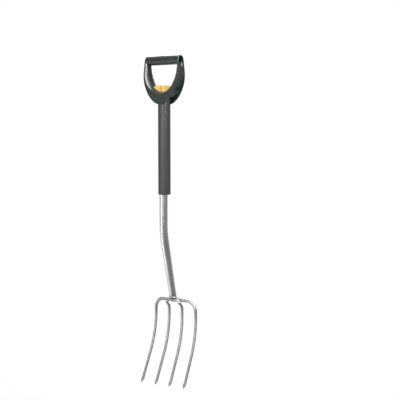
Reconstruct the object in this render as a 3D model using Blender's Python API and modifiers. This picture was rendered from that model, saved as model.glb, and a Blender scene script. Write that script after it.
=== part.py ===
# Telescopic garden fork: a moulded D handle with a release button, an oval sleeve, a cranked
# steel shaft that slides in it and a head of two bent bars with four tines.
# Metres, +Z up. X runs along the grip bar, the tines curve towards -Y.
# The origin is on the underside of the grip bar, where the fork hangs on a hook.

from math import asin, cos, pi, radians, sin, sqrt

import bmesh
import bpy
from mathutils import Matrix, Vector

# Running gap between pieces that meet or slide, how far cutters reach past what they cut,
# how far joined solids overlap, and the distance at which points become one
GAP = 0.0003
OVER = 0.01
JOIN = 0.002
MERGE = 0.00001

# D handle, with heights measured down from the top of the grip
GRIP_RADIUS = 0.01505
GRIP_END_RADIUS = 0.0142
GRIP_RING_RADIUS = 0.0148
GRIP_BORE_RADIUS = 0.0108
GRIP_RING_LENGTH = 0.0075
GRIP_RING_ROUND = 0.0032
GRIP_RING_BLEND = 0.004
MOUTH_HALF_WIDTH = 0.0098
MOUTH_DEPTH = 0.0054
MOUTH_RISE = 0.006
MOUTH_DROP = 0.014
HANDLE_HALF_WIDTH = 0.0687
HANDLE_HEIGHT = 0.1540
HANDLE_WIDEST_AT = 0.0446
HANDLE_SHOULDER_RISE = 0.19
HANDLE_FULLNESS = 1.84
SHIELD_HALF_DEPTH = 0.0230
SHIELD_STARTS_AT = 0.0906
RIM_WIDTH = 0.0043
LEG_INSET = 0.0004
CROTCH_AT = 0.1204
CROWN_RADIUS = 0.041
PLATE = 0.0032
WEB = 0.0028
EDGE_ROUND = 0.0009

# Release button and the well that it slides in
BUTTON_AT = 0.0940
BUTTON_CROWN = 0.0028
BUTTON_HALF_WIDTH = 0.0378
BUTTON_HALF_DEPTH = 0.0065
BUTTON_SKIRT_AT = 0.1246
BUTTON_SKIRT_HALF_WIDTH = 0.042
BUTTON_SKIRT_DROP = 0.026
BUTTON_EDGE = 0.0012
BUTTON_WALL = 0.0022
BUTTON_TRAVEL = 0.008
BUTTON_ROOM_BELOW = 0.001
COLUMN_RADIUS = 0.0085
COLUMN_WALL = 0.0016
COLUMN_STANDS = 0.0004
STEM_RADIUS = 0.0035
FLUTE_RADIUS = 0.0014
FLUTE_PITCH = 0.0075
FLUTES = 3
WELL_WALL = 0.0025
WELL_FLOOR = 0.0028
NECK_BELOW_FLOOR = 0.0012

# Return spring round the stem
SPRING_WIRE_RADIUS = 0.0007
SPRING_TURNS = 8
SPRING_POINTS = 10

# Sleeve
SLEEVE_HALF_WIDTH = 0.0188
SLEEVE_HALF_DEPTH = 0.0209
SLEEVE_WALL = 0.0020
SLEEVE_SHOWN = 0.2782
SPIGOT_LENGTH = 0.0126
SPIGOT_WALL = 0.0024
NECK_PIN_RADIUS = 0.0020
NECK_PIN_FORWARD = 0.0100
PIN_BELOW_FACE = 0.0004

# Shaft: a straight run in the sleeve, a bend, then a tapered run that leans back
SHAFT_RADIUS = 0.0130
SHAFT_END_RADIUS = 0.0112
SHAFT_WALL = 0.0015
SHAFT_FORWARD = 0.0049
SHAFT_STRAIGHT_BELOW = 0.0933
SHAFT_BEND_RADIUS = 0.32
SHAFT_LEAN = radians(12.8)
SHAFT_LEAN_HEIGHT = 0.1731
TRAVEL = 0.2
LATCH_HOLES = 5
LATCH_HOLE_RADIUS = 0.0040
TOP_HOLE_BELOW = 0.026

# Plug on top of the shaft
PLUG_FLANGE = 0.006
PLUG_SPIGOT = 0.014
PLUG_BORE_RADIUS = 0.0065
PLUG_GROOVE_HALF_WIDTH = 0.0069
PLUG_GROOVE_AT = 0.0086
PLUG_PIN_RADIUS = 0.0015
PLUG_PIN_BELOW = 0.007

# Push rod, latch leaf and their fixings, with depths measured back from the sleeve's middle
ROD_HALF_WIDTH = 0.0050
ROD_THICKNESS = 0.0020
ROD_FRONT = 0.0092
ROD_FOOT_FRONT = -0.0048
ROD_FOOT_BELOW_FLOOR = 0.0004
ROD_BEND = 0.0025
ROD_ABOVE_SLOPE = 0.0006
SCREW_RADIUS = 0.00125
SCREW_LENGTH = 0.0075
SCREW_HEAD_RADIUS = 0.0027
SCREW_HEAD = 0.0017
LEAF_HALF_WIDTH = 0.0055
LEAF_THICKNESS = 0.0007
LEAF_FRONT = 0.0141
LEAF_NEAR_SHAFT = 0.0011
LEAF_LAND = 0.004
LEAF_SLOPE_HEIGHT = 0.009
LEAF_BEND = 0.002
LEAF_BEND_DEPTH = 0.0006
LEAF_HELD = 0.022
LEAF_FREE = 0.026
LEAF_TAIL = 0.009
NOSE_RADIUS = 0.0034
NOSE_REACH = 0.0033
NOSE_ROUND = 0.0009
BLOCK_HALF_WIDTH = 0.0062
RIVET_RADIUS = 0.0016
RIVET_HEAD_RADIUS = 0.0031
RIVET_HEAD = 0.0011
GUIDE_HEIGHT = 0.012
GUIDE_BELOW_TOP = 0.075
GUIDE_WALL = 0.0012

# Guide bush at the lower end of the sleeve
BUSH_RIM = 0.0050
BUSH_CHAMFER = 0.0019
BUSH_SLOT_BELOW_NOSE = 0.014
BUSH_SLOT_ROOM = 0.0012
BUSH_RECESS = 0.0035
BUSH_RIVET_ABOVE_RIM = 0.014

# Head: one profile seen from the side, which both bars follow
HEAD_START_LEAN = radians(8.4)
HEAD_END_LEAN = radians(23.0)
HEAD_BEND_RADIUS = 0.318
HEAD_LENGTH = 0.2804
HEAD_SEAT_SHARE = 0.84
BAR_RADIUS = 0.0053
TINE_RADIUS = 0.0045
TINE_TIP_RADIUS = 0.0040
POINT_LENGTH = 0.017
POINT_SWELL = 0.0013
POINT_THICKNESS = 0.0012
OUTER_HALF_PITCH = 0.0816
OUTER_TIP_HALF_PITCH = 0.0866
OUTER_BEND_RADIUS = 0.033
INNER_HALF_PITCH = 0.0264
INNER_TIP_HALF_PITCH = 0.0284
INNER_BEND_RADIUS = 0.0165
INNER_RISE = 0.003
INNER_BAR_RADIUS = 0.0048
INNER_JOGGLE_LENGTH = 0.019
WELD_BEAD_RADIUS = 0.0019
WELD_ROOT_RADIUS = 0.0012
WELD_BEAD_HALF_LENGTH = 0.011
WELD_RING_RADIUS = 0.0018

# Facets of round pieces
ROUND = 32
BORE_SIDES = 36
SMALL_ROUND = 16
TINE_SIDES = 12

# Heights worked out from the sizes above, as world Z
gripTop = 2 * GRIP_RADIUS
gripAxis = gripTop - GRIP_RADIUS
handleTip = gripTop - HANDLE_HEIGHT
handleWidest = gripTop - HANDLE_WIDEST_AT
crotchZ = gripTop - CROTCH_AT
buttonTop = gripTop - BUTTON_AT
skirtZ = gripTop - BUTTON_SKIRT_AT
buttonRoom = BUTTON_TRAVEL + BUTTON_ROOM_BELOW
wellFloorZ = skirtZ - buttonRoom
cavityTop = wellFloorZ - WELL_FLOOR
neckBottom = cavityTop - NECK_BELOW_FLOOR
sleeveTop = neckBottom - GAP
sleeveBottom = handleTip - SLEEVE_SHOWN
spigotBottom = neckBottom - SPIGOT_LENGTH
plugTop = spigotBottom - GAP
shaftTop = plugTop - PLUG_FLANGE
topHoleZ = shaftTop - TOP_HOLE_BELOW
noseZ = topHoleZ - TRAVEL
bushTop = shaftTop - TRAVEL - GAP
bendStart = sleeveBottom - SHAFT_STRAIGHT_BELOW
innerRimHalfWidth = HANDLE_HALF_WIDTH - RIM_WIDTH
sleeveInnerWidth = SLEEVE_HALF_WIDTH - SLEEVE_WALL
sleeveInnerDepth = SLEEVE_HALF_DEPTH - SLEEVE_WALL
shaftRear = SHAFT_RADIUS - SHAFT_FORWARD
leafNear = shaftRear + LEAF_NEAR_SHAFT
slopeBottom = noseZ + NOSE_RADIUS + LEAF_LAND
slopeTop = slopeBottom + LEAF_SLOPE_HEIGHT
leafTop = slopeTop + LEAF_FREE + LEAF_HELD
rodBottom = slopeTop + ROD_ABOVE_SLOPE
blockFront = LEAF_FRONT + LEAF_THICKNESS + GAP
rodRear = ROD_FRONT + ROD_THICKNESS
behindSleeve = SLEEVE_HALF_DEPTH + OVER
neckPinZ = (neckBottom + spigotBottom) / 2
plugPinZ = shaftTop - PLUG_PIN_BELOW
footTop = cavityTop - ROD_FOOT_BELOW_FLOOR
stemEnd = footTop + GAP
springTop = buttonTop - BUTTON_CROWN - BUTTON_WALL

for leftover in list(bpy.data.objects):
    bpy.data.objects.remove(leftover, do_unlink=True)

partsCollection = bpy.data.collections.new("telescopic_garden_fork")
cuttersCollection = bpy.data.collections.new("cutters")
bpy.context.scene.collection.children.link(partsCollection)
bpy.context.scene.collection.children.link(cuttersCollection)


def make_material(name, colour, roughness, metallic):
    material = bpy.data.materials.new(name)
    material.use_nodes = True
    shader = material.node_tree.nodes["Principled BSDF"]
    shader.inputs["Base Color"].default_value = (*colour, 1.0)
    shader.inputs["Roughness"].default_value = roughness
    shader.inputs["Metallic"].default_value = metallic
    return material


darkPlastic = make_material("dark_plastic", (0.055, 0.062, 0.058), 0.45, 0.0)
orangePlastic = make_material("orange_plastic", (0.83, 0.42, 0.08), 0.4, 0.0)
blackPlastic = make_material("black_plastic", (0.02, 0.02, 0.02), 0.5, 0.0)
shaftSteel = make_material("shaft_steel", (0.62, 0.62, 0.61), 0.25, 1.0)
tineSteel = make_material("tine_steel", (0.32, 0.32, 0.32), 0.4, 1.0)
springSteel = make_material("spring_steel", (0.4, 0.4, 0.42), 0.3, 1.0)


def link(name, mesh, material=None):
    """A part when it has a material, and otherwise a cutter."""
    made = bpy.data.objects.new(name, mesh)
    if material is None:
        cuttersCollection.objects.link(made)
        made.hide_render = True
        made.display_type = "WIRE"
    else:
        partsCollection.objects.link(made)
        mesh.materials.append(material)
    return made


def mesh_of(shape, name):
    bmesh.ops.recalc_face_normals(shape, faces=shape.faces[:])
    mesh = bpy.data.meshes.new(name)
    shape.to_mesh(mesh)
    shape.free()
    mesh.shade_smooth()
    mesh.set_sharp_from_angle(angle=radians(35))
    return mesh


def boolean(target, other, operation):
    cut = target.modifiers.new(other.name, "BOOLEAN")
    cut.operation = operation
    cut.solver = "EXACT"
    cut.object = other


def cylinder(name, radius, start, end, material=None, sides=ROUND, end_radius=None):
    """A cylinder or cone between two points."""
    run = Vector(end) - Vector(start)
    turn = run.to_track_quat("Z", "Y").to_matrix().to_4x4()
    place = Matrix.Translation((Vector(start) + Vector(end)) / 2) @ turn
    shape = bmesh.new()
    bmesh.ops.create_cone(
        shape,
        cap_ends=True,
        segments=sides,
        radius1=radius,
        radius2=radius if end_radius is None else end_radius,
        depth=run.length,
    )
    made = link(name, mesh_of(shape, name), material)
    made.matrix_world = place
    return made


def box(name, low, high, material=None):
    size = Vector(high) - Vector(low)
    middle = (Vector(high) + Vector(low)) / 2
    shape = bmesh.new()
    bmesh.ops.create_cube(shape, size=1.0, matrix=Matrix.Diagonal((*size, 1.0)))
    made = link(name, mesh_of(shape, name), material)
    made.location = middle
    return made


def loft(name, rings, material=None):
    """A closed solid through rings of equally many points, capped at both ends."""
    shape = bmesh.new()
    rows = [[shape.verts.new(point) for point in ring] for ring in rings]
    count = len(rings[0])
    for lower, upper in zip(rows, rows[1:]):
        for i in range(count):
            j = (i + 1) % count
            shape.faces.new((lower[i], lower[j], upper[j], upper[i]))
    shape.faces.new(rows[0])
    shape.faces.new(rows[-1])
    return link(name, mesh_of(shape, name), material)


def from_curve(guide, name, material):
    """The curve's mesh as an object of its own, with its caps welded on."""
    bpy.context.view_layer.update()
    evaluated = guide.evaluated_get(bpy.context.evaluated_depsgraph_get())
    mesh = bpy.data.meshes.new_from_object(evaluated)
    shape = bmesh.new()
    shape.from_mesh(mesh)
    bmesh.ops.remove_doubles(shape, verts=shape.verts[:], dist=MERGE)
    bpy.data.meshes.remove(mesh)
    made = link(name, mesh_of(shape, name), material)
    made.matrix_world = guide.matrix_world
    bpy.data.objects.remove(guide, do_unlink=True)
    return made


def curve_guide(name, points, radii, cyclic, dimensions):
    data = bpy.data.curves.new(name, "CURVE")
    data.dimensions = dimensions
    spline = data.splines.new("POLY")
    spline.points.add(len(points) - 1)
    for i, point in enumerate(points):
        spline.points[i].co = (*point, 1.0)
        spline.points[i].radius = radii[i]
    spline.use_cyclic_u = cyclic
    guide = bpy.data.objects.new(name, data)
    cuttersCollection.objects.link(guide)
    return guide


def tube(name, points, radii, material=None, resolution=6):
    """A round bar along the points, with a radius at each."""
    guide = curve_guide(name + "_guide", points, radii, False, "3D")
    guide.data.bevel_depth = 1.0
    guide.data.bevel_resolution = resolution
    guide.data.use_fill_caps = True
    return from_curve(guide, name, material)


def plate(name, outline, half_thickness, turn, material=None, edge=0.0):
    """A flat outline with thickness on both sides, turned into place, with rounded edges."""
    points = [(x, y, 0.0) for x, y in outline]
    guide = curve_guide(name + "_guide", points, [1.0] * len(points), True, "2D")
    guide.data.fill_mode = "BOTH"
    guide.data.extrude = half_thickness - edge
    guide.data.bevel_depth = edge
    guide.data.bevel_resolution = 1
    guide.data.offset = -edge
    guide.matrix_world = turn
    return from_curve(guide, name, material)


def turned(name, profile, place, material=None, sides=ROUND):
    """A profile of (radius, height) from top to bottom, turned about its own Z."""
    shape = bmesh.new()
    points = [shape.verts.new((radius, 0.0, height)) for radius, height in profile]
    for first, second in zip(points, points[1:]):
        shape.edges.new((first, second))
    mesh = bpy.data.meshes.new(name)
    shape.to_mesh(mesh)
    shape.free()
    made = link(name, mesh, material)
    screw = made.modifiers.new("turn", "SCREW")
    screw.steps = sides
    screw.render_steps = sides
    screw.use_merge_vertices = True
    screw.merge_threshold = MERGE
    screw.use_smooth_shade = True
    made.matrix_world = place
    return made


def oval(half_width, half_depth, z, sides=48, middle=0.0):
    """A level ellipse."""
    ring = []
    for i in range(sides):
        angle = 2 * pi * i / sides
        ring.append((half_width * cos(angle), middle + half_depth * sin(angle), z))
    return ring


def oval_solid(name, half_width, half_depth, low, high, material=None):
    rings = [oval(half_width, half_depth, low), oval(half_width, half_depth, high)]
    return loft(name, rings, material)


facingFront = Matrix.Rotation(pi / 2, 4, "X")
facingSide = Matrix.Rotation(pi / 2, 4, "Z") @ Matrix.Rotation(pi / 2, 4, "X")
alongX = Matrix.Rotation(pi / 2, 4, "Y")


def outer_limit(x, z):
    """Below 1 inside the handle's outer outline, above 1 outside it."""
    drop = handleWidest - z
    reach = HANDLE_HEIGHT - HANDLE_WIDEST_AT if drop > 0 else HANDLE_SHOULDER_RISE
    return (abs(x) / HANDLE_HALF_WIDTH) ** HANDLE_FULLNESS + (drop / reach) ** 2


def rim_width(point, outward):
    """How far the outer outline lies from a point of the inner rim."""
    near = 0.0
    far = HANDLE_HEIGHT
    for _ in range(40):
        middle = (near + far) / 2
        spot = point + outward * middle
        if outer_limit(spot.x, spot.z) < 1:
            near = middle
        else:
            far = middle
    return near


def frame_half_depth(z):
    """The handle grows deeper from the grip down to the shield."""
    share = (gripAxis - z) / (gripAxis - gripTop + SHIELD_STARTS_AT)
    share = min(max(share, 0.0), 1.0)
    eased = share * share * (3 - 2 * share)
    least = GRIP_RING_RADIUS - LEG_INSET
    return least + (SHIELD_HALF_DEPTH - least) * eased


def leg_section(point, outward, follow):
    """One C section of the handle: two plates joined by a web that bulges into the D."""
    width = rim_width(point, outward)
    depth = frame_half_depth(point.z)
    inside = depth - PLATE
    crown = CROWN_RADIUS - sqrt(CROWN_RADIUS**2 - depth**2)

    def spot(back, y):
        return point + outward * (width - back) + Vector((0, y, 0))

    def bulge(y):
        return crown * (1 - (y / depth) ** 2)

    ring = [spot(EDGE_ROUND, -depth), spot(width - EDGE_ROUND, -depth)]
    steps = 8
    for i in range(steps + 1):
        y = (depth - EDGE_ROUND) * (2 * i / steps - 1)
        ring.append(spot(width + bulge(y), y))
    ring += [spot(width - EDGE_ROUND, depth), spot(EDGE_ROUND, depth)]
    ring += [spot(0, depth - EDGE_ROUND), spot(0, inside)]
    for i in range(steps + 1):
        y = inside * (1 - 2 * i / steps)
        corner = WEB * 0.35 if i in (0, steps) else 0.0
        ring.append(spot(width - WEB - corner + follow * bulge(y), y))
    ring += [spot(0, -inside), spot(0, EDGE_ROUND - depth)]
    return ring


def frame_sections():
    """Sections from the right end of the grip, round the crotch, to the left end."""
    stations = []
    for share in (0.0, 0.35, 0.7):
        z = gripAxis + (handleWidest - gripAxis) * share
        stations.append((Vector((innerRimHalfWidth, 0, z)), Vector((1, 0, 0)), 1.0))
    rise = handleWidest - crotchZ
    steps = 16
    for i in range(steps + 1):
        angle = pi / 2 * i / steps
        point = Vector((innerRimHalfWidth * cos(angle), 0, handleWidest - rise * sin(angle)))
        outward = Vector((cos(angle) / innerRimHalfWidth, 0, -sin(angle) / rise)).normalized()
        stations.append((point, outward, max(0.0, 1 - angle / radians(50))))
    mirrored = []
    for point, outward, follow in reversed(stations[:-1]):
        flip = Vector((-1, 1, 1))
        mirrored.append((point * flip, outward * flip, follow))
    return [leg_section(*station) for station in stations + mirrored]


def skirt(half_width, shift):
    """The lower edge of the button's half moon, from right to left."""
    points = []
    steps = 14
    start = asin(min(1.0, half_width / BUTTON_SKIRT_HALF_WIDTH))
    for i in range(steps + 1):
        angle = start * (1 - 2 * i / steps)
        x = BUTTON_SKIRT_HALF_WIDTH * sin(angle)
        points.append((x, skirtZ + BUTTON_SKIRT_DROP * (1 - cos(angle)) - shift))
    return points


def make_handle_frame():
    frame = loft("handle_frame", frame_sections(), darkPlastic)
    narrowing = 1 - ((gripAxis - handleWidest) / HANDLE_SHOULDER_RISE) ** 2
    grip_end = HANDLE_HALF_WIDTH * narrowing ** (1 / HANDLE_FULLNESS)
    ring_start = grip_end - GRIP_RING_LENGTH
    profile = [
        (0.0, grip_end),
        (GRIP_RING_RADIUS - GRIP_RING_ROUND, grip_end),
        (GRIP_RING_RADIUS - GRIP_RING_ROUND * 0.3, grip_end - GRIP_RING_ROUND * 0.3),
        (GRIP_RING_RADIUS, grip_end - GRIP_RING_ROUND),
        (GRIP_RING_RADIUS, ring_start),
    ]
    steps = 12
    for i in range(1, steps):
        x = (ring_start - GRIP_RING_BLEND) * (1 - 2 * i / steps)
        share = 1 - (x / ring_start) ** 2
        profile.append((GRIP_END_RADIUS + (GRIP_RADIUS - GRIP_END_RADIUS) * share, x))
    for radius, x in reversed(profile[:5]):
        profile.append((radius, -x))
    grip_place = Matrix.Translation((0, 0, gripAxis)) @ alongX
    grip = turned("grip_barrel", profile, grip_place)
    boolean(frame, grip, "UNION")

    shell = WELL_WALL + GAP
    block_half_width = BUTTON_HALF_WIDTH + shell
    rise = handleWidest - crotchZ
    top_edge = []
    steps = 14
    for i in range(steps + 1):
        x = block_half_width * (2 * i / steps - 1)
        rim = handleWidest - rise * sqrt(1 - (x / innerRimHalfWidth) ** 2)
        top_edge.append((x, rim - JOIN / 2))
    lower = skirt(block_half_width, buttonRoom + WELL_WALL)
    block = plate("well_block", top_edge + lower, SHIELD_HALF_DEPTH - JOIN / 2, facingFront)
    boolean(frame, block, "UNION")
    neck = oval_solid("neck", SLEEVE_HALF_WIDTH, SLEEVE_HALF_DEPTH, neckBottom, crotchZ - JOIN)
    boolean(frame, neck, "UNION")

    seat = oval_solid(
        "sleeve_seat",
        SLEEVE_HALF_WIDTH + GAP,
        SLEEVE_HALF_DEPTH + GAP,
        handleTip - OVER,
        neckBottom,
    )
    boolean(frame, seat, "DIFFERENCE")
    spigot = oval_solid(
        "spigot", sleeveInnerWidth - GAP, sleeveInnerDepth - GAP, spigotBottom, neckBottom + JOIN
    )
    boolean(frame, spigot, "UNION")
    cavity = oval_solid(
        "spigot_cavity",
        sleeveInnerWidth - GAP - SPIGOT_WALL,
        sleeveInnerDepth - GAP - SPIGOT_WALL,
        spigotBottom - OVER,
        cavityTop,
    )
    boolean(frame, cavity, "DIFFERENCE")

    half = BUTTON_HALF_WIDTH + GAP
    well_top = buttonTop + OVER
    outline = [(-half, well_top), *reversed(skirt(half, buttonRoom)), (half, well_top)]
    well = plate("well_wings", outline, BUTTON_HALF_DEPTH + GAP, facingFront)
    boolean(frame, well, "DIFFERENCE")
    well_column = cylinder(
        "well_column", COLUMN_RADIUS + GAP, (0, 0, wellFloorZ), (0, 0, well_top)
    )
    boolean(frame, well_column, "DIFFERENCE")
    stem_hole = cylinder(
        "stem_hole",
        STEM_RADIUS + GAP,
        (0, 0, cavityTop - OVER),
        (0, 0, wellFloorZ + OVER),
        sides=SMALL_ROUND,
    )
    boolean(frame, stem_hole, "DIFFERENCE")

    reach = HANDLE_HALF_WIDTH + OVER
    bore = cylinder(
        "grip_bore",
        GRIP_BORE_RADIUS,
        (-reach, 0, gripAxis),
        (reach, 0, gripAxis),
        sides=BORE_SIDES,
    )
    mouth_top = gripAxis - GRIP_BORE_RADIUS + MOUTH_RISE
    ramp = [(reach, mouth_top)]
    steps = 8
    for i in range(steps + 1):
        angle = pi / 2 * i / steps
        ramp.append((grip_end - MOUTH_DEPTH * cos(angle), mouth_top - MOUTH_DROP * sin(angle)))
    ramp.append((reach, mouth_top - MOUTH_DROP))
    for side in (1, -1):
        outline = [(side * x, z) for x, z in ramp]
        mouth = plate(f"channel_mouth_{side}", outline[::side], MOUTH_HALF_WIDTH, facingFront)
        boolean(bore, mouth, "UNION")
    boolean(frame, bore, "DIFFERENCE")
    pin_hole = cylinder(
        "neck_pin_hole",
        NECK_PIN_RADIUS + GAP,
        (-SLEEVE_HALF_WIDTH - OVER, -NECK_PIN_FORWARD, neckPinZ),
        (SLEEVE_HALF_WIDTH + OVER, -NECK_PIN_FORWARD, neckPinZ),
        sides=SMALL_ROUND,
    )
    boolean(frame, pin_hole, "DIFFERENCE")
    return frame


def make_release_button():
    top = []
    steps = 10
    for i in range(steps + 1):
        x = BUTTON_HALF_WIDTH * (2 * i / steps - 1)
        top.append((x, buttonTop - BUTTON_CROWN * (x / BUTTON_HALF_WIDTH) ** 2))
    outline = top + skirt(BUTTON_HALF_WIDTH, 0.0)
    button = plate(
        "release_button", outline, BUTTON_HALF_DEPTH, facingFront, orangePlastic, BUTTON_EDGE
    )
    head = buttonTop + COLUMN_STANDS
    column_profile = [
        (0.0, head),
        (COLUMN_RADIUS - BUTTON_EDGE, head),
        (COLUMN_RADIUS - BUTTON_EDGE * 0.3, head - BUTTON_EDGE * 0.3),
        (COLUMN_RADIUS, head - BUTTON_EDGE),
        (COLUMN_RADIUS, skirtZ + GAP),
        (0.0, skirtZ + GAP),
    ]
    column = turned("button_column", column_profile, Matrix.Identity(4))
    boolean(button, column, "UNION")
    for side in (1, -1):
        for i in range(FLUTES):
            x = side * (COLUMN_RADIUS + FLUTE_PITCH * (i + 0.65))
            for face in (1, -1):
                y = face * (BUTTON_HALF_DEPTH + FLUTE_RADIUS * 0.4)
                flute = cylinder(
                    f"flute_{side}_{i}_{face}",
                    FLUTE_RADIUS,
                    (x, y, skirtZ - OVER),
                    (x, y, buttonTop + OVER),
                    sides=10,
                )
                boolean(button, flute, "DIFFERENCE")
        ends = sorted((side * (COLUMN_RADIUS + GAP), side * (BUTTON_HALF_WIDTH - BUTTON_WALL)))
        depth = BUTTON_HALF_DEPTH - BUTTON_WALL
        core = box(
            f"wing_core_{side}", (ends[0], -depth, skirtZ - OVER), (ends[1], depth, springTop)
        )
        boolean(button, core, "DIFFERENCE")
    spring_room = cylinder(
        "spring_room", COLUMN_RADIUS - COLUMN_WALL, (0, 0, skirtZ - OVER), (0, 0, springTop)
    )
    boolean(button, spring_room, "DIFFERENCE")
    stem = cylinder(
        "stem",
        STEM_RADIUS,
        (0, 0, stemEnd),
        (0, 0, springTop + BUTTON_WALL / 2),
        sides=SMALL_ROUND,
    )
    boolean(button, stem, "UNION")
    pilot = cylinder(
        "stem_pilot",
        SCREW_RADIUS + GAP,
        (0, 0, stemEnd - OVER),
        (0, 0, footTop + SCREW_LENGTH),
        sides=SMALL_ROUND,
    )
    boolean(button, pilot, "DIFFERENCE")
    return button


def make_return_spring():
    mean_radius = (COLUMN_RADIUS - COLUMN_WALL + STEM_RADIUS) / 2 + GAP
    low = wellFloorZ + SPRING_WIRE_RADIUS + GAP
    high = springTop - SPRING_WIRE_RADIUS - GAP
    points = []
    steps = SPRING_TURNS * SPRING_POINTS
    for i in range(steps + 1):
        angle = 2 * pi * i / SPRING_POINTS
        z = low + (high - low) * i / steps
        points.append((mean_radius * cos(angle), mean_radius * sin(angle), z))
    return tube(
        "return_spring", points, [SPRING_WIRE_RADIUS] * len(points), springSteel, resolution=1
    )


def strip(name, centre_line, thickness, half_width, material):
    """A bent strip seen from the side: its middle line as (y, z), thickened and widened along X."""
    left = []
    right = []
    last = len(centre_line) - 1
    for i, (y, z) in enumerate(centre_line):
        before = Vector(centre_line[max(i - 1, 0)])
        after = Vector(centre_line[min(i + 1, last)])
        along = (after - before).normalized()
        normal = Vector((-along.y, along.x)) * thickness / 2
        left.append((y + normal.x, z + normal.y))
        right.append((y - normal.x, z - normal.y))
    return plate(name, left + right[::-1], half_width, facingSide, material)


def make_push_rod():
    """A flat strip with a bent foot under the button's stem and a tapered tip at the leaf."""
    middle = ROD_FRONT + ROD_THICKNESS / 2
    foot_z = footTop - ROD_THICKNESS / 2
    line = [(ROD_FOOT_FRONT, foot_z)]
    steps = 5
    for i in range(steps + 1):
        angle = pi / 2 * i / steps
        y = middle - ROD_BEND + ROD_BEND * sin(angle)
        line.append((y, foot_z - ROD_BEND + ROD_BEND * cos(angle)))
    line.append((middle, rodBottom))
    rod = strip("push_rod", line, ROD_THICKNESS, ROD_HALF_WIDTH, springSteel)
    hole = cylinder(
        "rod_screw_hole",
        SCREW_RADIUS + GAP,
        (0, 0, foot_z - OVER),
        (0, 0, foot_z + OVER),
        sides=SMALL_ROUND,
    )
    boolean(rod, hole, "DIFFERENCE")
    return rod


def make_rod_screw():
    under_foot = footTop - ROD_THICKNESS - GAP
    profile = [
        (0.0, footTop + SCREW_LENGTH - GAP),
        (SCREW_RADIUS, footTop + SCREW_LENGTH - GAP),
        (SCREW_RADIUS, under_foot),
        (SCREW_HEAD_RADIUS, under_foot),
        (SCREW_HEAD_RADIUS, under_foot - SCREW_HEAD * 0.5),
        (SCREW_HEAD_RADIUS * 0.7, under_foot - SCREW_HEAD),
        (0.0, under_foot - SCREW_HEAD),
    ]
    return turned("rod_screw", profile, Matrix.Identity(4), springSteel, SMALL_ROUND)


def make_outer_sleeve():
    sleeve = oval_solid(
        "outer_sleeve", SLEEVE_HALF_WIDTH, SLEEVE_HALF_DEPTH, sleeveBottom, sleeveTop, darkPlastic
    )
    inside = oval_solid(
        "sleeve_inside", sleeveInnerWidth, sleeveInnerDepth, sleeveBottom - OVER, sleeveTop + OVER
    )
    boolean(sleeve, inside, "DIFFERENCE")
    boolean(sleeve, bpy.data.objects["neck_pin_hole"], "DIFFERENCE")
    for name, z in rivet_heights():
        hole = cylinder(
            f"{name}_hole",
            RIVET_RADIUS + GAP,
            (0, ROD_FRONT, z),
            (0, behindSleeve, z),
            sides=SMALL_ROUND,
        )
        boolean(sleeve, hole, "DIFFERENCE")
    return sleeve


def rivet_heights():
    return (
        ("rod_guide_rivet", sleeveTop - GUIDE_BELOW_TOP),
        ("latch_rivet_upper", leafTop - LEAF_HELD * 0.25),
        ("latch_rivet_lower", leafTop - LEAF_HELD * 0.75),
        ("bush_rivet", sleeveBottom + BUSH_RIVET_ABOVE_RIM),
    )


def make_neck_pin():
    half = SLEEVE_HALF_WIDTH * sqrt(1 - (NECK_PIN_FORWARD / SLEEVE_HALF_DEPTH) ** 2)
    half -= PIN_BELOW_FACE
    return cylinder(
        "neck_pin",
        NECK_PIN_RADIUS,
        (-half, -NECK_PIN_FORWARD, neckPinZ),
        (half, -NECK_PIN_FORWARD, neckPinZ),
        springSteel,
        SMALL_ROUND,
    )


def make_rivet(name, z, front):
    """A rivet through the sleeve's rear wall, with a domed head outside and a flat one inside."""
    outside = SLEEVE_HALF_DEPTH + GAP
    profile = [
        (0.0, outside + RIVET_HEAD),
        (RIVET_HEAD_RADIUS * 0.55, outside + RIVET_HEAD * 0.85),
        (RIVET_HEAD_RADIUS * 0.9, outside + RIVET_HEAD * 0.4),
        (RIVET_HEAD_RADIUS, outside),
        (RIVET_RADIUS, outside),
        (RIVET_RADIUS, front - GAP),
        (RIVET_HEAD_RADIUS * 0.8, front - GAP),
        (RIVET_HEAD_RADIUS * 0.8, front - GAP - RIVET_HEAD * 0.6),
        (0.0, front - GAP - RIVET_HEAD * 0.6),
    ]
    turn = Matrix.Rotation(-pi / 2, 4, "X")
    return turned(name, profile, Matrix.Translation((0, 0, z)) @ turn, shaftSteel, SMALL_ROUND)


def rear_block(name, half_width, front, low, high, material):
    """A block that fills the sleeve's rear wall as far forward as its flat front."""
    block = oval_solid(name, sleeveInnerWidth - GAP, sleeveInnerDepth - GAP, low, high, material)
    keep = box(
        f"{name}_keep", (-half_width, front, low - OVER), (half_width, behindSleeve, high + OVER)
    )
    boolean(block, keep, "INTERSECT")
    return block


def rivet_clearance(target, name):
    boolean(target, bpy.data.objects[f"{name}_hole"], "DIFFERENCE")


def make_rod_guide():
    z = sleeveTop - GUIDE_BELOW_TOP
    half = ROD_HALF_WIDTH + GAP + GUIDE_WALL
    low = z - GUIDE_HEIGHT / 2
    high = z + GUIDE_HEIGHT / 2
    guide = rear_block("rod_guide", half, ROD_FRONT, low, high, blackPlastic)
    slot = box(
        "rod_guide_slot",
        (-ROD_HALF_WIDTH - GAP, 0, low - OVER),
        (ROD_HALF_WIDTH + GAP, rodRear + GAP, high + OVER),
    )
    boolean(guide, slot, "DIFFERENCE")
    rivet_clearance(guide, "rod_guide_rivet")
    recess = cylinder(
        "rod_guide_recess",
        RIVET_HEAD_RADIUS + GAP,
        (0, 0, z),
        (0, rodRear + GAP + RIVET_HEAD + GAP, z),
        sides=SMALL_ROUND,
    )
    boolean(guide, recess, "DIFFERENCE")
    return guide


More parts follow.
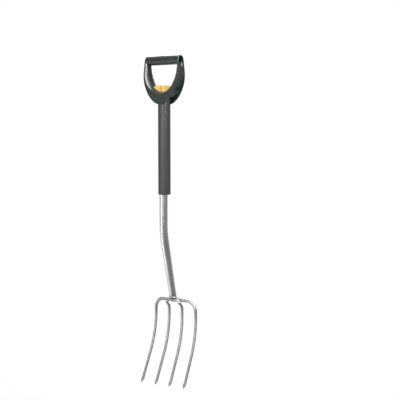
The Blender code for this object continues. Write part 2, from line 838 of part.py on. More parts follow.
def make_latch_block():
    low = leafTop - LEAF_HELD
    block = rear_block("latch_block", BLOCK_HALF_WIDTH, blockFront, low, leafTop, blackPlastic)
    rivet_clearance(block, "latch_rivet_upper")
    rivet_clearance(block, "latch_rivet_lower")
    return block


def make_latch_leaf():
    """A spring leaf: held flat on its block, then a cam slope, then the nose in the shaft."""
    half = LEAF_THICKNESS / 2
    line = [
        (LEAF_FRONT + half, leafTop),
        (LEAF_FRONT + half, slopeTop + LEAF_BEND),
        (LEAF_FRONT + half - LEAF_BEND_DEPTH, slopeTop),
        (leafNear + half + LEAF_BEND_DEPTH, slopeBottom),
        (leafNear + half, slopeBottom - LEAF_BEND),
        (leafNear + half, noseZ - LEAF_TAIL),
    ]
    leaf = strip("latch_leaf", line, LEAF_THICKNESS, LEAF_HALF_WIDTH, springSteel)
    nose_start = leafNear + half
    tip = nose_start - NOSE_REACH
    turn = Matrix.Translation((0, 0, noseZ)) @ Matrix.Rotation(pi / 2, 4, "X")
    profile = [
        (0.0, -tip),
        (NOSE_RADIUS * 0.75, -tip),
        (NOSE_RADIUS, -tip - NOSE_ROUND),
        (NOSE_RADIUS, -nose_start),
        (0.0, -nose_start),
    ]
    nose = turned("leaf_nose", profile, turn, sides=SMALL_ROUND)
    boolean(leaf, nose, "UNION")
    rivet_clearance(leaf, "latch_rivet_upper")
    rivet_clearance(leaf, "latch_rivet_lower")
    return leaf


def make_lower_guide_bush():
    """A long guide inside the sleeve's lower end, with a chamfered rim below it."""
    bush = oval_solid(
        "lower_guide_bush",
        sleeveInnerWidth - GAP,
        sleeveInnerDepth - GAP,
        sleeveBottom - BUSH_RIM / 2,
        bushTop,
        blackPlastic,
    )
    rim_top = sleeveBottom - GAP
    foot_width = SLEEVE_HALF_WIDTH - BUSH_CHAMFER
    foot_depth = SLEEVE_HALF_DEPTH - BUSH_CHAMFER
    rings = [
        oval(foot_width, foot_depth, rim_top - BUSH_RIM),
        oval(SLEEVE_HALF_WIDTH, SLEEVE_HALF_DEPTH, rim_top - BUSH_RIM * 0.45),
        oval(SLEEVE_HALF_WIDTH, SLEEVE_HALF_DEPTH, rim_top),
    ]
    boolean(bush, loft("bush_rim", rings), "UNION")
    bore = cylinder(
        "bush_bore",
        SHAFT_RADIUS + GAP,
        (0, -SHAFT_FORWARD, rim_top - BUSH_RIM - OVER),
        (0, -SHAFT_FORWARD, bushTop + OVER),
    )
    boolean(bush, bore, "DIFFERENCE")
    slot_half = LEAF_HALF_WIDTH + BUSH_SLOT_ROOM
    slot = box(
        "bush_slot",
        (-slot_half, 0, noseZ - BUSH_SLOT_BELOW_NOSE),
        (slot_half, behindSleeve, bushTop + OVER),
    )
    boolean(bush, slot, "DIFFERENCE")
    rivet_clearance(bush, "bush_rivet")
    rivet_z = sleeveBottom + BUSH_RIVET_ABOVE_RIM
    recess = cylinder(
        "bush_rivet_recess",
        RIVET_HEAD_RADIUS + GAP,
        (0, 0, rivet_z),
        (0, shaftRear + BUSH_RECESS, rivet_z),
        sides=SMALL_ROUND,
    )
    boolean(bush, recess, "DIFFERENCE")
    return bush


def shaft_path():
    """The shaft's middle line from top to bottom, with the share of its taper at each point."""
    points = [(Vector((0, -SHAFT_FORWARD, z)), 0.0) for z in (shaftTop, bendStart)]
    steps = 8
    for i in range(1, steps + 1):
        angle = SHAFT_LEAN * i / steps
        y = -SHAFT_FORWARD + SHAFT_BEND_RADIUS * (1 - cos(angle))
        points.append((Vector((0, y, bendStart - SHAFT_BEND_RADIUS * sin(angle))), 0.0))
    start = points[-1][0]
    down = Vector((0, sin(SHAFT_LEAN), -cos(SHAFT_LEAN)))
    length = SHAFT_LEAN_HEIGHT / cos(SHAFT_LEAN)
    steps = 4
    for i in range(1, steps + 1):
        points.append((start + down * length * i / steps, i / steps))
    return points


# The shaft's end, cut to sit on the two crowns, and the line across them, from front to rear
shaftEnd = shaft_path()[-1][0]
shaftDown = Vector((0, sin(SHAFT_LEAN), -cos(SHAFT_LEAN)))
crownForward = BAR_RADIUS + INNER_BAR_RADIUS + GAP
crownSpan = sqrt(crownForward**2 + INNER_RISE**2)
headBack = Vector((0, cos(HEAD_START_LEAN), sin(HEAD_START_LEAN)))
headDown = Vector((0, sin(HEAD_START_LEAN), -cos(HEAD_START_LEAN)))
seatBack = (headBack * crownForward + headDown * INNER_RISE) / crownSpan
seatUp = Vector((0, -seatBack.z, seatBack.y))
headStart = shaftEnd - seatUp * (BAR_RADIUS + GAP) + seatBack * crownSpan * HEAD_SEAT_SHARE


def make_steel_shaft():
    path = shaft_path()
    points = [point for point, _ in path]
    radii = [SHAFT_RADIUS + (SHAFT_END_RADIUS - SHAFT_RADIUS) * share for _, share in path]
    points[-1] = points[-1] + shaftDown * SHAFT_END_RADIUS
    shaft = tube("steel_shaft", points, radii, shaftSteel)
    low = (-2 * SHAFT_RADIUS, -3 * SHAFT_RADIUS, -4 * SHAFT_RADIUS)
    seat = box("shaft_seat", low, (2 * SHAFT_RADIUS, 3 * SHAFT_RADIUS, 0.0))
    tilt = Matrix((Vector((1, 0, 0)), seatBack, seatUp)).transposed().to_4x4()
    seat.matrix_world = Matrix.Translation(shaftEnd) @ tilt @ Matrix.Translation((0, 0, low[2] / 2))
    boolean(shaft, seat, "DIFFERENCE")
    up = Vector((0, 0, OVER))
    bore_points = [points[0] + up, *points[:-1], points[-1] + shaftDown * OVER]
    bore_radii = [radii[0], *radii[:-1], radii[-1]]
    for i in range(LATCH_HOLES):
        z = topHoleZ - TRAVEL * i / (LATCH_HOLES - 1)
        hole = cylinder(
            f"latch_hole_{i}",
            LATCH_HOLE_RADIUS,
            (0, 0, z),
            (0, behindSleeve, z),
            sides=SMALL_ROUND,
        )
        boolean(shaft, hole, "DIFFERENCE")
    pin_hole = cylinder(
        "plug_pin_hole",
        PLUG_PIN_RADIUS + GAP,
        (-SHAFT_RADIUS - OVER, -SHAFT_FORWARD, plugPinZ),
        (SHAFT_RADIUS + OVER, -SHAFT_FORWARD, plugPinZ),
        sides=SMALL_ROUND,
    )
    boolean(shaft, pin_hole, "DIFFERENCE")
    bore = tube("shaft_bore", bore_points, [radius - SHAFT_WALL for radius in bore_radii])
    boolean(shaft, bore, "DIFFERENCE")
    return shaft


def make_shaft_top_plug():
    plug = oval_solid(
        "shaft_top_plug",
        sleeveInnerWidth - GAP,
        sleeveInnerDepth - GAP,
        shaftTop + GAP,
        plugTop,
        blackPlastic,
    )
    spigot = cylinder(
        "plug_spigot",
        SHAFT_RADIUS - SHAFT_WALL - GAP,
        (0, -SHAFT_FORWARD, shaftTop - PLUG_SPIGOT),
        (0, -SHAFT_FORWARD, shaftTop + PLUG_FLANGE / 2),
    )
    boolean(plug, spigot, "UNION")
    bore = cylinder(
        "plug_bore",
        PLUG_BORE_RADIUS,
        (0, -SHAFT_FORWARD, shaftTop - PLUG_SPIGOT - OVER),
        (0, -SHAFT_FORWARD, plugTop + OVER),
    )
    boolean(plug, bore, "DIFFERENCE")
    groove = box(
        "plug_groove",
        (-PLUG_GROOVE_HALF_WIDTH, PLUG_GROOVE_AT, shaftTop - OVER),
        (PLUG_GROOVE_HALF_WIDTH, behindSleeve, plugTop + OVER),
    )
    boolean(plug, groove, "DIFFERENCE")
    boolean(plug, bpy.data.objects["plug_pin_hole"], "DIFFERENCE")
    return plug


def make_plug_pin():
    half = SHAFT_RADIUS - PIN_BELOW_FACE
    return cylinder(
        "plug_pin",
        PLUG_PIN_RADIUS,
        (-half, -SHAFT_FORWARD, plugPinZ),
        (half, -SHAFT_FORWARD, plugPinZ),
        springSteel,
        SMALL_ROUND,
    )


def head_profile(run):
    """The point of the head's side profile at a run down from the crossbar, and its lean."""
    bend_run = HEAD_BEND_RADIUS * (HEAD_START_LEAN + HEAD_END_LEAN)
    turned_run = min(run, bend_run)
    lean = turned_run / HEAD_BEND_RADIUS - HEAD_START_LEAN
    y = headStart.y + HEAD_BEND_RADIUS * (cos(lean) - cos(HEAD_START_LEAN))
    z = headStart.z - HEAD_BEND_RADIUS * (sin(HEAD_START_LEAN) + sin(lean))
    straight = run - turned_run
    y -= straight * sin(lean)
    z -= straight * cos(lean)
    return Vector((0, y, z)), lean


def bar_route(half_pitch, tip_half_pitch, bend_radius, rise):
    """Half of a bar, from the middle of its crown to its tip, as (x, run down the profile)."""
    route = [(0.0, -rise), (half_pitch - bend_radius, -rise)]
    steps = 7
    for i in range(1, steps + 1):
        angle = pi / 2 * i / steps
        x = half_pitch - bend_radius * (1 - sin(angle))
        route.append((x, bend_radius * (1 - cos(angle)) - rise))
    corner = bend_radius - rise
    steps = 17
    for i in range(1, steps + 1):
        share = (i / steps) ** 1.5
        x = half_pitch + (tip_half_pitch - half_pitch) * share
        route.append((x, corner + (HEAD_LENGTH - POINT_LENGTH - corner) * share))
    return route


def tine_radius(run, thick):
    """The bar thins from its crown down to the swell before the point."""
    share = min(max(run / (HEAD_LENGTH - POINT_LENGTH), 0.0), 1.0)
    upper = min(share / 0.2, 1.0)
    radius = thick + (TINE_RADIUS - thick) * upper
    return radius + (TINE_TIP_RADIUS - TINE_RADIUS) * max(0.0, (share - 0.2) / 0.8)


def bar_ring(x, run, direction, forward, across, thick, shift):
    """One section of a bar: across the tine by the through-thickness of it."""
    centre, lean = head_profile(run)
    normal = Vector((0, cos(lean), -sin(lean)))
    down = Vector((0, -sin(lean), -cos(lean)))
    along = Vector((direction[0], 0, 0)) + down * direction[1]
    along.normalize()
    side = along.cross(normal)
    middle = centre + Vector((x, 0, 0)) + normal * (shift - forward)
    ring = []
    for i in range(TINE_SIDES):
        angle = 2 * pi * i / TINE_SIDES
        ring.append(middle + side * across * cos(angle) + normal * thick * sin(angle))
    return ring


def bent_bar(name, route, thick, lapped, joggle):
    """A bar over both halves of its route, ending in chisel points bevelled from behind."""
    stations = []
    for i, (x, run) in enumerate(route):
        before = route[max(i - 1, 0)]
        after = route[min(i + 1, len(route) - 1)]
        direction = (after[0] - before[0], after[1] - before[1])
        share = 1.0 if joggle == 0 else min(max(run - thick, 0.0) / joggle, 1.0)
        eased = share * share * (3 - 2 * share)
        forward = lapped * (1 - eased)
        radius = tine_radius(run, thick)
        stations.append((x, run, direction, forward, radius, radius, 0.0))
    x, run, direction, forward, radius, _, _ = stations[-1]
    swell = radius + POINT_SWELL
    for share, across, through in ((0.25, 1.0, 0.95), (0.5, 0.85, 0.7), (0.8, 0.5, 0.4), (1.0, 0.22, 0.18)):
        thin = max(radius * through, POINT_THICKNESS / 2)
        point_run = run + POINT_LENGTH * share
        stations.append((x, point_run, direction, 0.0, swell * across, thin, thin - radius))
    right = [bar_ring(*station) for station in stations]
    left = [[Vector((-point.x, point.y, point.z)) for point in ring] for ring in right[:0:-1]]
    return loft(name, left + right, tineSteel)


def make_outer_tine_bar():
    route = bar_route(OUTER_HALF_PITCH, OUTER_TIP_HALF_PITCH, OUTER_BEND_RADIUS, 0.0)
    return bent_bar("outer_tine_bar", route, BAR_RADIUS, 0.0, 0.0)


def make_inner_tine_bar():
    route = bar_route(INNER_HALF_PITCH, INNER_TIP_HALF_PITCH, INNER_BEND_RADIUS, INNER_RISE)
    return bent_bar("inner_tine_bar", route, INNER_BAR_RADIUS, crownForward, INNER_JOGGLE_LENGTH)


def bead_place(above, radius):
    """The middle of a bead that lies in the valley between the two crowns."""
    inner = headStart - seatBack * crownSpan
    reach_outer = BAR_RADIUS + radius + GAP
    reach_inner = INNER_BAR_RADIUS + radius + GAP
    along = (reach_inner**2 - reach_outer**2 + crownSpan**2) / (2 * crownSpan)
    height = sqrt(reach_inner**2 - along**2)
    return inner + seatBack * along + seatUp * height * above


def make_weld_bead(name, above, radius):
    middle = bead_place(above, radius)
    points = []
    radii = []
    steps = 12
    for i in range(steps + 1):
        share = 2 * i / steps - 1
        points.append(middle + Vector((WELD_BEAD_HALF_LENGTH * share, 0, 0)))
        end = 0.45 if i in (0, steps) else 1.0
        ripple = 0.9 if i % 2 else 1.0
        radii.append(radius * end * ripple)
    return tube(name, points, radii, tineSteel, resolution=2)


def make_weld_ring():
    """The fillet round the shaft's end, where it stands on the two crowns."""
    stretch = 1 / abs(seatUp.dot(shaftDown))
    taper = (SHAFT_RADIUS - SHAFT_END_RADIUS) * cos(SHAFT_LEAN) / SHAFT_LEAN_HEIGHT
    height = 2 * WELD_RING_RADIUS
    inner = SHAFT_END_RADIUS + GAP + taper * height
    shape = bmesh.new()
    rings = []
    around = 28
    section = ((0.0, 1.0), (0.9, 0.7), (1.4, 0.25), (1.2, 0.0), (0.0, 0.0))
    for i in range(around):
        angle = 2 * pi * i / around
        outward = Vector((cos(angle), 0, 0)) + seatBack * sin(angle) * stretch
        ring = []
        for back, up in section:
            spot = shaftEnd - shaftDown * (GAP + height * up)
            ring.append(shape.verts.new(spot + outward * (inner + WELD_RING_RADIUS * back)))
        rings.append(ring)
    for first, second in zip(rings, rings[1:] + rings[:1]):
        for i in range(len(first)):
            j = (i + 1) % len(first)
            shape.faces.new((first[i], first[j], second[j], second[i]))
    return link("weld_ring", mesh_of(shape, "weld_ring"), tineSteel)


def empty_at(name, place):
    """An empty on a joint's axis, which carries the pieces that move together."""
    pivot = bpy.data.objects.new(name, None)
    partsCollection.objects.link(pivot)
    pivot.location = place
    return pivot


def carry(pivot, pieces):
    bpy.context.view_layer.update()
    for piece in pieces:
        piece.parent = pivot
        piece.matrix_parent_inverse = pivot.matrix_world.inverted()


handleFrame = make_handle_frame()
outerSleeve = make_outer_sleeve()
fixedPieces = [
    make_neck_pin(),
    make_rod_guide(),
    make_latch_block(),
    make_latch_leaf(),
    make_lower_guide_bush(),
    make_return_spring(),
]
rivetFronts = {
    "rod_guide_rivet": rodRear + GAP + RIVET_HEAD + GAP * 2,
    "latch_rivet_upper": LEAF_FRONT,
    "latch_rivet_lower": LEAF_FRONT,
    "bush_rivet": shaftRear + BUSH_RECESS + GAP,
}
for rivetName, rivetZ in rivet_heights():
    fixedPieces.append(make_rivet(rivetName, rivetZ, rivetFronts[rivetName]))

buttonSlide = empty_at("button_slide", (0, 0, buttonTop))
carry(buttonSlide, [make_release_button(), make_push_rod(), make_rod_screw()])

forkSlide = empty_at("fork_slide", (0, -SHAFT_FORWARD, shaftTop))
forkPieces = [
    make_steel_shaft(),
    make_shaft_top_plug(),
    make_plug_pin(),
    make_outer_tine_bar(),
    make_inner_tine_bar(),
    make_weld_bead("weld_bead_upper", 1, WELD_ROOT_RADIUS),
    make_weld_bead("weld_bead_lower", -1, WELD_BEAD_RADIUS),
    make_weld_ring(),
]
carry(forkSlide, forkPieces)
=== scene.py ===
from math import asin, cos, pi, radians, sin, sqrt

import bmesh
import bpy
from mathutils import Matrix, Vector


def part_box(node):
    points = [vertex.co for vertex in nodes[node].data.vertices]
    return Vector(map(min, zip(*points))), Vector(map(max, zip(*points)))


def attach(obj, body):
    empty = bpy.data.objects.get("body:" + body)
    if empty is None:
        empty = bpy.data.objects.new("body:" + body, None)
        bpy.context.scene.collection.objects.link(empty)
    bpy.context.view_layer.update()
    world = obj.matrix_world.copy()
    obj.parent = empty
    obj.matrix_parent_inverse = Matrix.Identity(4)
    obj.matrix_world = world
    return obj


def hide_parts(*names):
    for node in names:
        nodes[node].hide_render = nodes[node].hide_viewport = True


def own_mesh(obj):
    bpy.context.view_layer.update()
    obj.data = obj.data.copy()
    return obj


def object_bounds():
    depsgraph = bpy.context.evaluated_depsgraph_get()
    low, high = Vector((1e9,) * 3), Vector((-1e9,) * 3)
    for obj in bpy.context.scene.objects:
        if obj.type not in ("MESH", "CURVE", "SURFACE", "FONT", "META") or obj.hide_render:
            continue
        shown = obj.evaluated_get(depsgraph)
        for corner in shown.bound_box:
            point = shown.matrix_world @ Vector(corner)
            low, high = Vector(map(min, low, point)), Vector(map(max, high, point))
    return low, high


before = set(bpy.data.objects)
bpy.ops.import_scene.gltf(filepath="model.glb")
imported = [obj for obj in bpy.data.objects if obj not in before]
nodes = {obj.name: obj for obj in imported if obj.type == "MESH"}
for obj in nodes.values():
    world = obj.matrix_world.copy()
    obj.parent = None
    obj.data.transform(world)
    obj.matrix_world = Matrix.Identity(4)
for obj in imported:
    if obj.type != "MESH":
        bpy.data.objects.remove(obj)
cadLow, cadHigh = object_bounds()

# +Z up, X along the grip bar, whose underside has the origin; the tines curve towards -Y
gap = 0.0003  # between pieces that meet or slide
past = 0.01  # how far a cutter reaches past what it cuts
sunk = 0.002  # how far joined shapes overlap


def addObject(name, data):
    thing = bpy.data.objects.new(name, data)
    bpy.context.scene.collection.objects.link(thing)
    return thing


def addPiece(name, shape):
    # a bmesh becomes an object of the scene
    bmesh.ops.recalc_face_normals(shape, faces=shape.faces[:])
    mesh = bpy.data.meshes.new(name)
    shape.to_mesh(mesh)
    shape.free()
    return addObject(name, mesh)


def applyAll(piece):
    bpy.context.view_layer.update()
    ready = piece.evaluated_get(bpy.context.evaluated_depsgraph_get())
    mesh = bpy.data.meshes.new_from_object(ready)
    old = piece.data
    piece.modifiers.clear()
    piece.data = mesh
    bpy.data.meshes.remove(old)


def carve(piece, tool, how="DIFFERENCE"):
    step = piece.modifiers.new("carve", "BOOLEAN")
    step.operation = how
    step.solver = "EXACT"
    step.object = tool
    applyAll(piece)
    bpy.data.objects.remove(tool)


def smooth(piece, angle=32):
    piece.data.shade_smooth()
    piece.data.set_sharp_from_angle(angle=radians(angle))
    weight = piece.modifiers.new("weight", "WEIGHTED_NORMAL")
    weight.keep_sharp = True
    applyAll(piece)


def roundOff(piece, width, segments, angle):
    bevel = piece.modifiers.new("edge", "BEVEL")
    bevel.width = width
    bevel.segments = segments
    bevel.limit_method = "ANGLE"
    bevel.angle_limit = radians(angle)
    applyAll(piece)


def around(sides):
    # angles of the corners of a round section
    return [2 * pi * (i + 0.5) / sides for i in range(sides)]


def quarter(steps, first=0):
    # angles from 0 to a right angle
    return [pi / 2 * i / steps for i in range(first, steps + 1)]


def addBand(shape, lower, upper):
    # quads between two rings of equally many corners
    for i in range(len(lower)):
        j = (i + 1) % len(lower)
        shape.faces.new((lower[i], lower[j], upper[j], upper[i]))


def skin(name, rings, closed=False):
    # a bar through rings, or a closed loop of them
    shape = bmesh.new()
    rows = [[shape.verts.new(point) for point in ring] for ring in rings]
    for lower, upper in zip(rows, rows[1:]):
        addBand(shape, lower, upper)
    if closed:
        addBand(shape, rows[-1], rows[0])
    else:
        shape.faces.new(rows[0])
        shape.faces.new(rows[-1])
    return addPiece(name, shape)


def spin(name, profile, place=Matrix.Identity(4), sides=64):
    # a profile of (radius, height) turned round Z; its ends lie on the axis
    shape = bmesh.new()
    ends = [shape.verts.new(place @ Vector((0, 0, profile[k][1]))) for k in (0, -1)]
    rows = []
    for radius, height in profile[1:-1]:
        ring = [Vector((radius * cos(angle), radius * sin(angle), height)) for angle in around(sides)]
        rows.append([shape.verts.new(place @ point) for point in ring])
    for lower, upper in zip(rows, rows[1:]):
        addBand(shape, lower, upper)
    for end, row in zip(ends, (rows[0], rows[-1])):
        for i in range(sides):
            shape.faces.new((end, row[i], row[(i + 1) % sides]))
    return addPiece(name, shape)


def rod(name, radius, start, end, sides=48):
    run = Vector(end) - Vector(start)
    place = Matrix.Translation(start) @ run.to_track_quat("Z", "Y").to_matrix().to_4x4()
    return spin(name, [(0, 0), (radius, 0), (radius, run.length), (0, run.length)], place, sides)


def slab(name, outline, half, roundEdge=0.0, segments=4):
    # an outline of (x, z), as thick as twice half along Y
    shape = bmesh.new()
    front = [shape.verts.new((x, -half, z)) for x, z in outline]
    back = [shape.verts.new((x, half, z)) for x, z in outline]
    shape.faces.new(front)
    shape.faces.new(back)
    addBand(shape, front, back)
    piece = addPiece(name, shape)
    if roundEdge:
        roundOff(piece, roundEdge, segments, 50)
    return piece


def sweep(name, points, radii, sides=32):
    # a round bar along points in the YZ plane or along X
    rings = []
    for i, point in enumerate(points):
        along = (points[min(i + 1, len(points) - 1)] - points[max(i - 1, 0)]).normalized()
        across = Vector((0, 1, 0)) if abs(along.x) > 0.9 else Vector((1, 0, 0))
        other = along.cross(across).normalized()
        across = other.cross(along).normalized()
        rings.append(
            [point + (across * cos(angle) + other * sin(angle)) * radii[i] for angle in around(sides)]
        )
    return skin(name, rings)


def ease(share):
    share = min(max(share, 0.0), 1.0)
    return share * share * (3 - 2 * share)


class Wire:
    # an output socket that can be used in sums
    def __init__(self, finish, socket):
        self.finish = finish
        self.socket = socket

    def maths(self, operation, first, second):
        return self.finish.add("ShaderNodeMath", {"operation": operation}, {0: first, 1: second})

    def __add__(self, other):
        return self.maths("ADD", self, other)

    def __sub__(self, other):
        return self.maths("SUBTRACT", self, other)

    def __rsub__(self, other):
        return self.maths("SUBTRACT", other, self)

    def __mul__(self, other):
        return self.maths("MULTIPLY", self, other)

    __radd__ = __add__
    __rmul__ = __mul__

    def between(self, low, high):
        # 0 up to low, 1 from high on, soft in the middle
        return self.finish.add(
            "ShaderNodeMapRange",
            {"interpolation_type": "SMOOTHSTEP"},
            {"Value": self, "From Min": low, "From Max": high},
        )


class Finish:
    # the nodes of one new material, or of the world
    def __init__(self, name, owner=None):
        self.owner = owner or bpy.data.materials.new(name)
        self.owner.use_nodes = True
        self.tree = self.owner.node_tree

    def feed(self, socket, value):
        if isinstance(value, Wire):
            self.tree.links.new(value.socket, socket)
        else:
            socket.default_value = value

    def add(self, kind, settings=None, values=None, output=0):
        node = self.tree.nodes.new(kind)
        for key, value in (settings or {}).items():
            setattr(node, key, value)
        for key, value in (values or {}).items():
            self.feed(node.inputs[key], value)
        return Wire(self, node.outputs[output])

    def place(self):
        return self.add("ShaderNodeTexCoord", output="Object")

    def vector(self, operation, first, second=(0, 0, 0), output="Vector"):
        values = {0: first, 1: second}
        return self.add("ShaderNodeVectorMath", {"operation": operation}, values, output)

    def stretch(self, wire, scale):
        return self.vector("MULTIPLY", wire, scale)

    def axis(self, wire, name):
        return self.add("ShaderNodeSeparateXYZ", None, {0: wire}, output=name)

    def grain(self, wire, scale, detail=2.0):
        values = {"Vector": wire, "Scale": scale, "Detail": detail}
        return self.add("ShaderNodeTexNoise", None, values, output="Fac")

    def streaks(self, wire, across, along, detail=2.0):
        # grain with other scales across and along the height
        return self.grain(self.stretch(wire, (across, across, along)), 1.0, detail)

    def cells(self, wire, scale):
        values = {"Vector": wire, "Scale": scale}
        return self.add("ShaderNodeTexVoronoi", None, values, output="Distance")

    def edges(self):
        return self.add("ShaderNodeNewGeometry", output="Pointiness")

    def tint(self, first, second, share):
        values = {0: share, 6: first, 7: second}
        return self.add("ShaderNodeMix", {"data_type": "RGBA"}, values, output=2)

    def relief(self, look, height, strength):
        # bumps, on softened edges where the look has a radius for them
        values = {"Height": height, "Distance": look["relief"], "Strength": strength}
        if "edge" in look:
            values["Normal"] = self.add("ShaderNodeBevel", {"samples": 6}, {"Radius": look["edge"]})
        return self.add("ShaderNodeBump", None, values)

    def shade(self, **values):
        shader = self.tree.nodes["Principled BSDF"]
        names = {
            "colour": "Base Color",
            "rough": "Roughness",
            "metal": "Metallic",
            "normal": "Normal",
            "gloss": "Specular IOR Level",
        }
        for key, value in values.items():
            self.feed(shader.inputs[names[key]], value)
        return self.owner


def rgb(red, green, blue):
    return (red, green, blue, 1.0)


# cloud, fine, lines and the like are scales of noise, relief the depth of bumps, edge a soft radius
plasticLook = {
    "colour": rgb(0.0125, 0.0190, 0.0155),
    "pale": rgb(0.0165, 0.0245, 0.0195),
    "worn": rgb(0.080, 0.090, 0.083),
    "rough": 0.26,
    "cloud": 26.0,
    "fine": 1500.0,
    "pits": 1100.0,
    "wear": 90.0,
    "heldFrom": (-0.012, 0.012),  # heights between which the polish of hands sets in
    "relief": 0.0001,
    "edge": 0.0006,
}


def mouldedPlastic():
    # eroded satin grain, paler at the edges, polished by hands round the grip
    look = plasticLook
    finish = Finish("mouldedPlastic")
    place = finish.place()
    cloud = finish.grain(place, look["cloud"], 3.0)
    fine = finish.grain(place, look["fine"])
    pits = finish.cells(place, look["pits"])
    worn = finish.edges().between(0.53, 0.62) * finish.grain(place, look["wear"], 3.0).between(0.3, 0.7)
    held = finish.axis(place, "Z").between(*look["heldFrom"])
    colour = finish.tint(look["colour"], look["pale"], cloud.between(0.35, 0.7))
    colour = finish.tint(colour, look["worn"], worn * 0.55)
    rough = look["rough"] + cloud * 0.06 + fine * 0.05 - held * 0.07 - worn * 0.08
    normal = finish.relief(look, fine * 0.6 + pits * 0.4, 0.2)
    return finish.shade(colour=colour, rough=rough, normal=normal, gloss=0.55)


sleeveLook = {
    "colour": rgb(0.026, 0.027, 0.025),
    "pale": rgb(0.034, 0.035, 0.032),
    "rough": 0.29,
    "lines": (520.0, 5.0),
    "cloud": (30.0, 9.0),
    "fine": 1600.0,
    "relief": 0.00007,
    "edge": 0.0005,
}


def drawnPlastic():
    # extruded tube: faint lines along its length and fine dust-like grain
    look = sleeveLook
    finish = Finish("drawnPlastic")
    place = finish.place()
    lines = finish.streaks(place, *look["lines"], 3.0)
    fine = finish.grain(place, look["fine"])
    cloud = finish.streaks(place, *look["cloud"], 3.0)
    colour = finish.tint(look["colour"], look["pale"], cloud.between(0.3, 0.75))
    rough = look["rough"] + lines * 0.07 + fine * 0.04
    normal = finish.relief(look, lines * 0.5 + fine * 0.5, 0.4)
    return finish.shade(colour=colour, rough=rough, normal=normal, gloss=0.45)


blackLook = {
    "colour": rgb(0.017, 0.018, 0.018),
    "pale": rgb(0.028, 0.030, 0.029),
    "rough": 0.4,
    "cloud": 40.0,
    "fine": 1200.0,
    "relief": 0.0001,
    "edge": 0.0004,
}


def blackPlastic():
    look = blackLook
    finish = Finish("blackPlastic")
    place = finish.place()
    fine = finish.grain(place, look["fine"])
    colour = finish.tint(look["colour"], look["pale"], finish.grain(place, look["cloud"]))
    normal = finish.relief(look, fine, 0.5)
    return finish.shade(colour=colour, rough=look["rough"] + fine * 0.1, normal=normal)


buttonLook = {
    "colour": rgb(0.700, 0.415, 0.110),
    "pale": rgb(0.760, 0.500, 0.150),
    # the deeper orange of the painted shade in the flutes and hollows
    "deep": rgb(0.620, 0.290, 0.055),
    "rough": 0.3,
    "cloud": 60.0,
    "fine": 1300.0,
    "relief": 0.0001,
    "edge": 0.0005,
}


def orangePlastic():
    # half gloss, with painted shade that turns the flutes and other hollows a deeper orange, and rubbed
    # pale where the thumb presses
    look = buttonLook
    finish = Finish("orangePlastic")
    place = finish.place()
    cloud = finish.grain(place, look["cloud"], 3.0)
    fine = finish.grain(place, look["fine"])
    edges = finish.edges()
    colour = finish.tint(look["colour"], look["pale"], cloud.between(0.3, 0.8) * 0.6)
    # painted shade: where the surface is hollow, in the flutes and at the column's foot, the colour
    # turns to the deeper orange
    colour = finish.tint(colour, look["deep"], (1 - edges.between(0.38, 0.49)) * 0.8)
    colour = finish.tint(colour, look["pale"], edges.between(0.52, 0.6) * 0.6)
    rough = look["rough"] + fine * 0.08 + cloud * 0.05
    normal = finish.relief(look, fine, 0.15)
    return finish.shade(colour=colour, rough=rough, normal=normal)


shaftLook = {
    "bright": rgb(0.640, 0.640, 0.635),
    "dull": rgb(0.520, 0.522, 0.525),
    "straw": rgb(0.420, 0.330, 0.210),
    "scale": rgb(0.200, 0.195, 0.200),
    "rough": 0.17,
    "lines": (900.0, 3.0),
    "scratches": (2200.0, 40.0),
    "cloud": (40.0, 12.0),
    # heights between which the heat colours of the weld end, and the waves in them
    "strawEnds": (-0.7314, -0.7174),
    "scaleEnds": (-0.7384, -0.7304),
    "waves": 90.0,
    "waveHeight": 0.008,
    "relief": 0.00005,
    "edge": 0.0004,
}


def drawnSteel():
    # zinc-bright tube: lines along it, fine sliding scratches, and heat colours at its welded end
    look = shaftLook
    finish = Finish("drawnSteel")
    place = finish.place()
    lines = finish.streaks(place, *look["lines"], 4.0)
    scratches = finish.streaks(place, *look["scratches"]).between(0.62, 0.7)
    cloud = finish.streaks(place, *look["cloud"], 4.0)
    waves = finish.grain(place, look["waves"], 3.0) - 0.5
    height = finish.axis(place, "Z") + waves * look["waveHeight"]
    straw = 1 - height.between(*look["strawEnds"])
    scale = 1 - height.between(*look["scaleEnds"])
    colour = finish.tint(look["bright"], look["dull"], cloud.between(0.4, 0.75))
    colour = finish.tint(colour, look["straw"], straw * 0.45)
    colour = finish.tint(colour, look["scale"], scale * 0.75)
    rough = look["rough"] + lines * 0.09 + cloud * 0.06 + scratches * 0.1 + scale * 0.25
    normal = finish.relief(look, lines * 0.7 + scratches * 0.3, 0.35)
    return finish.shade(colour=colour, rough=rough, metal=1.0, normal=normal)


tineLook = {
    "steel": rgb(0.420, 0.420, 0.420),
    "dark": rgb(0.300, 0.300, 0.302),
    "low": rgb(0.215, 0.215, 0.217),
    "rough": 0.42,
    "cloud": 70.0,
    "dents": (190.0, 190.0, 110.0),
    "fine": 1100.0,
    "lines": (1200.0, 60.0),
    "lowEnds": (-0.9747, -0.7947),  # heights between which the dark of the points ends
    "waveHeight": 0.012,
    "relief": 0.00022,
    "edge": 0.0004,
}


def forgedSteel():
    # satin bars with hammer scale, darker towards the points
    look = tineLook
    finish = Finish("forgedSteel")
    place = finish.place()
    cloud = finish.grain(place, look["cloud"], 4.0)
    dents = finish.cells(finish.stretch(place, look["dents"]), 1.0)
    fine = finish.grain(place, look["fine"], 3.0)
    lines = finish.streaks(place, *look["lines"], 3.0)
    height = finish.axis(place, "Z") + (cloud - 0.5) * look["waveHeight"]
    low = 1 - height.between(*look["lowEnds"])
    colour = finish.tint(look["steel"], look["dark"], cloud.between(0.42, 0.72))
    colour = finish.tint(colour, look["low"], low * 0.8)
    rough = look["rough"] + cloud * 0.1 + fine * 0.05
    normal = finish.relief(look, dents * 0.5 + fine * 0.25 + lines * 0.25, 0.45)
    return finish.shade(colour=colour, rough=rough, metal=1.0, normal=normal)


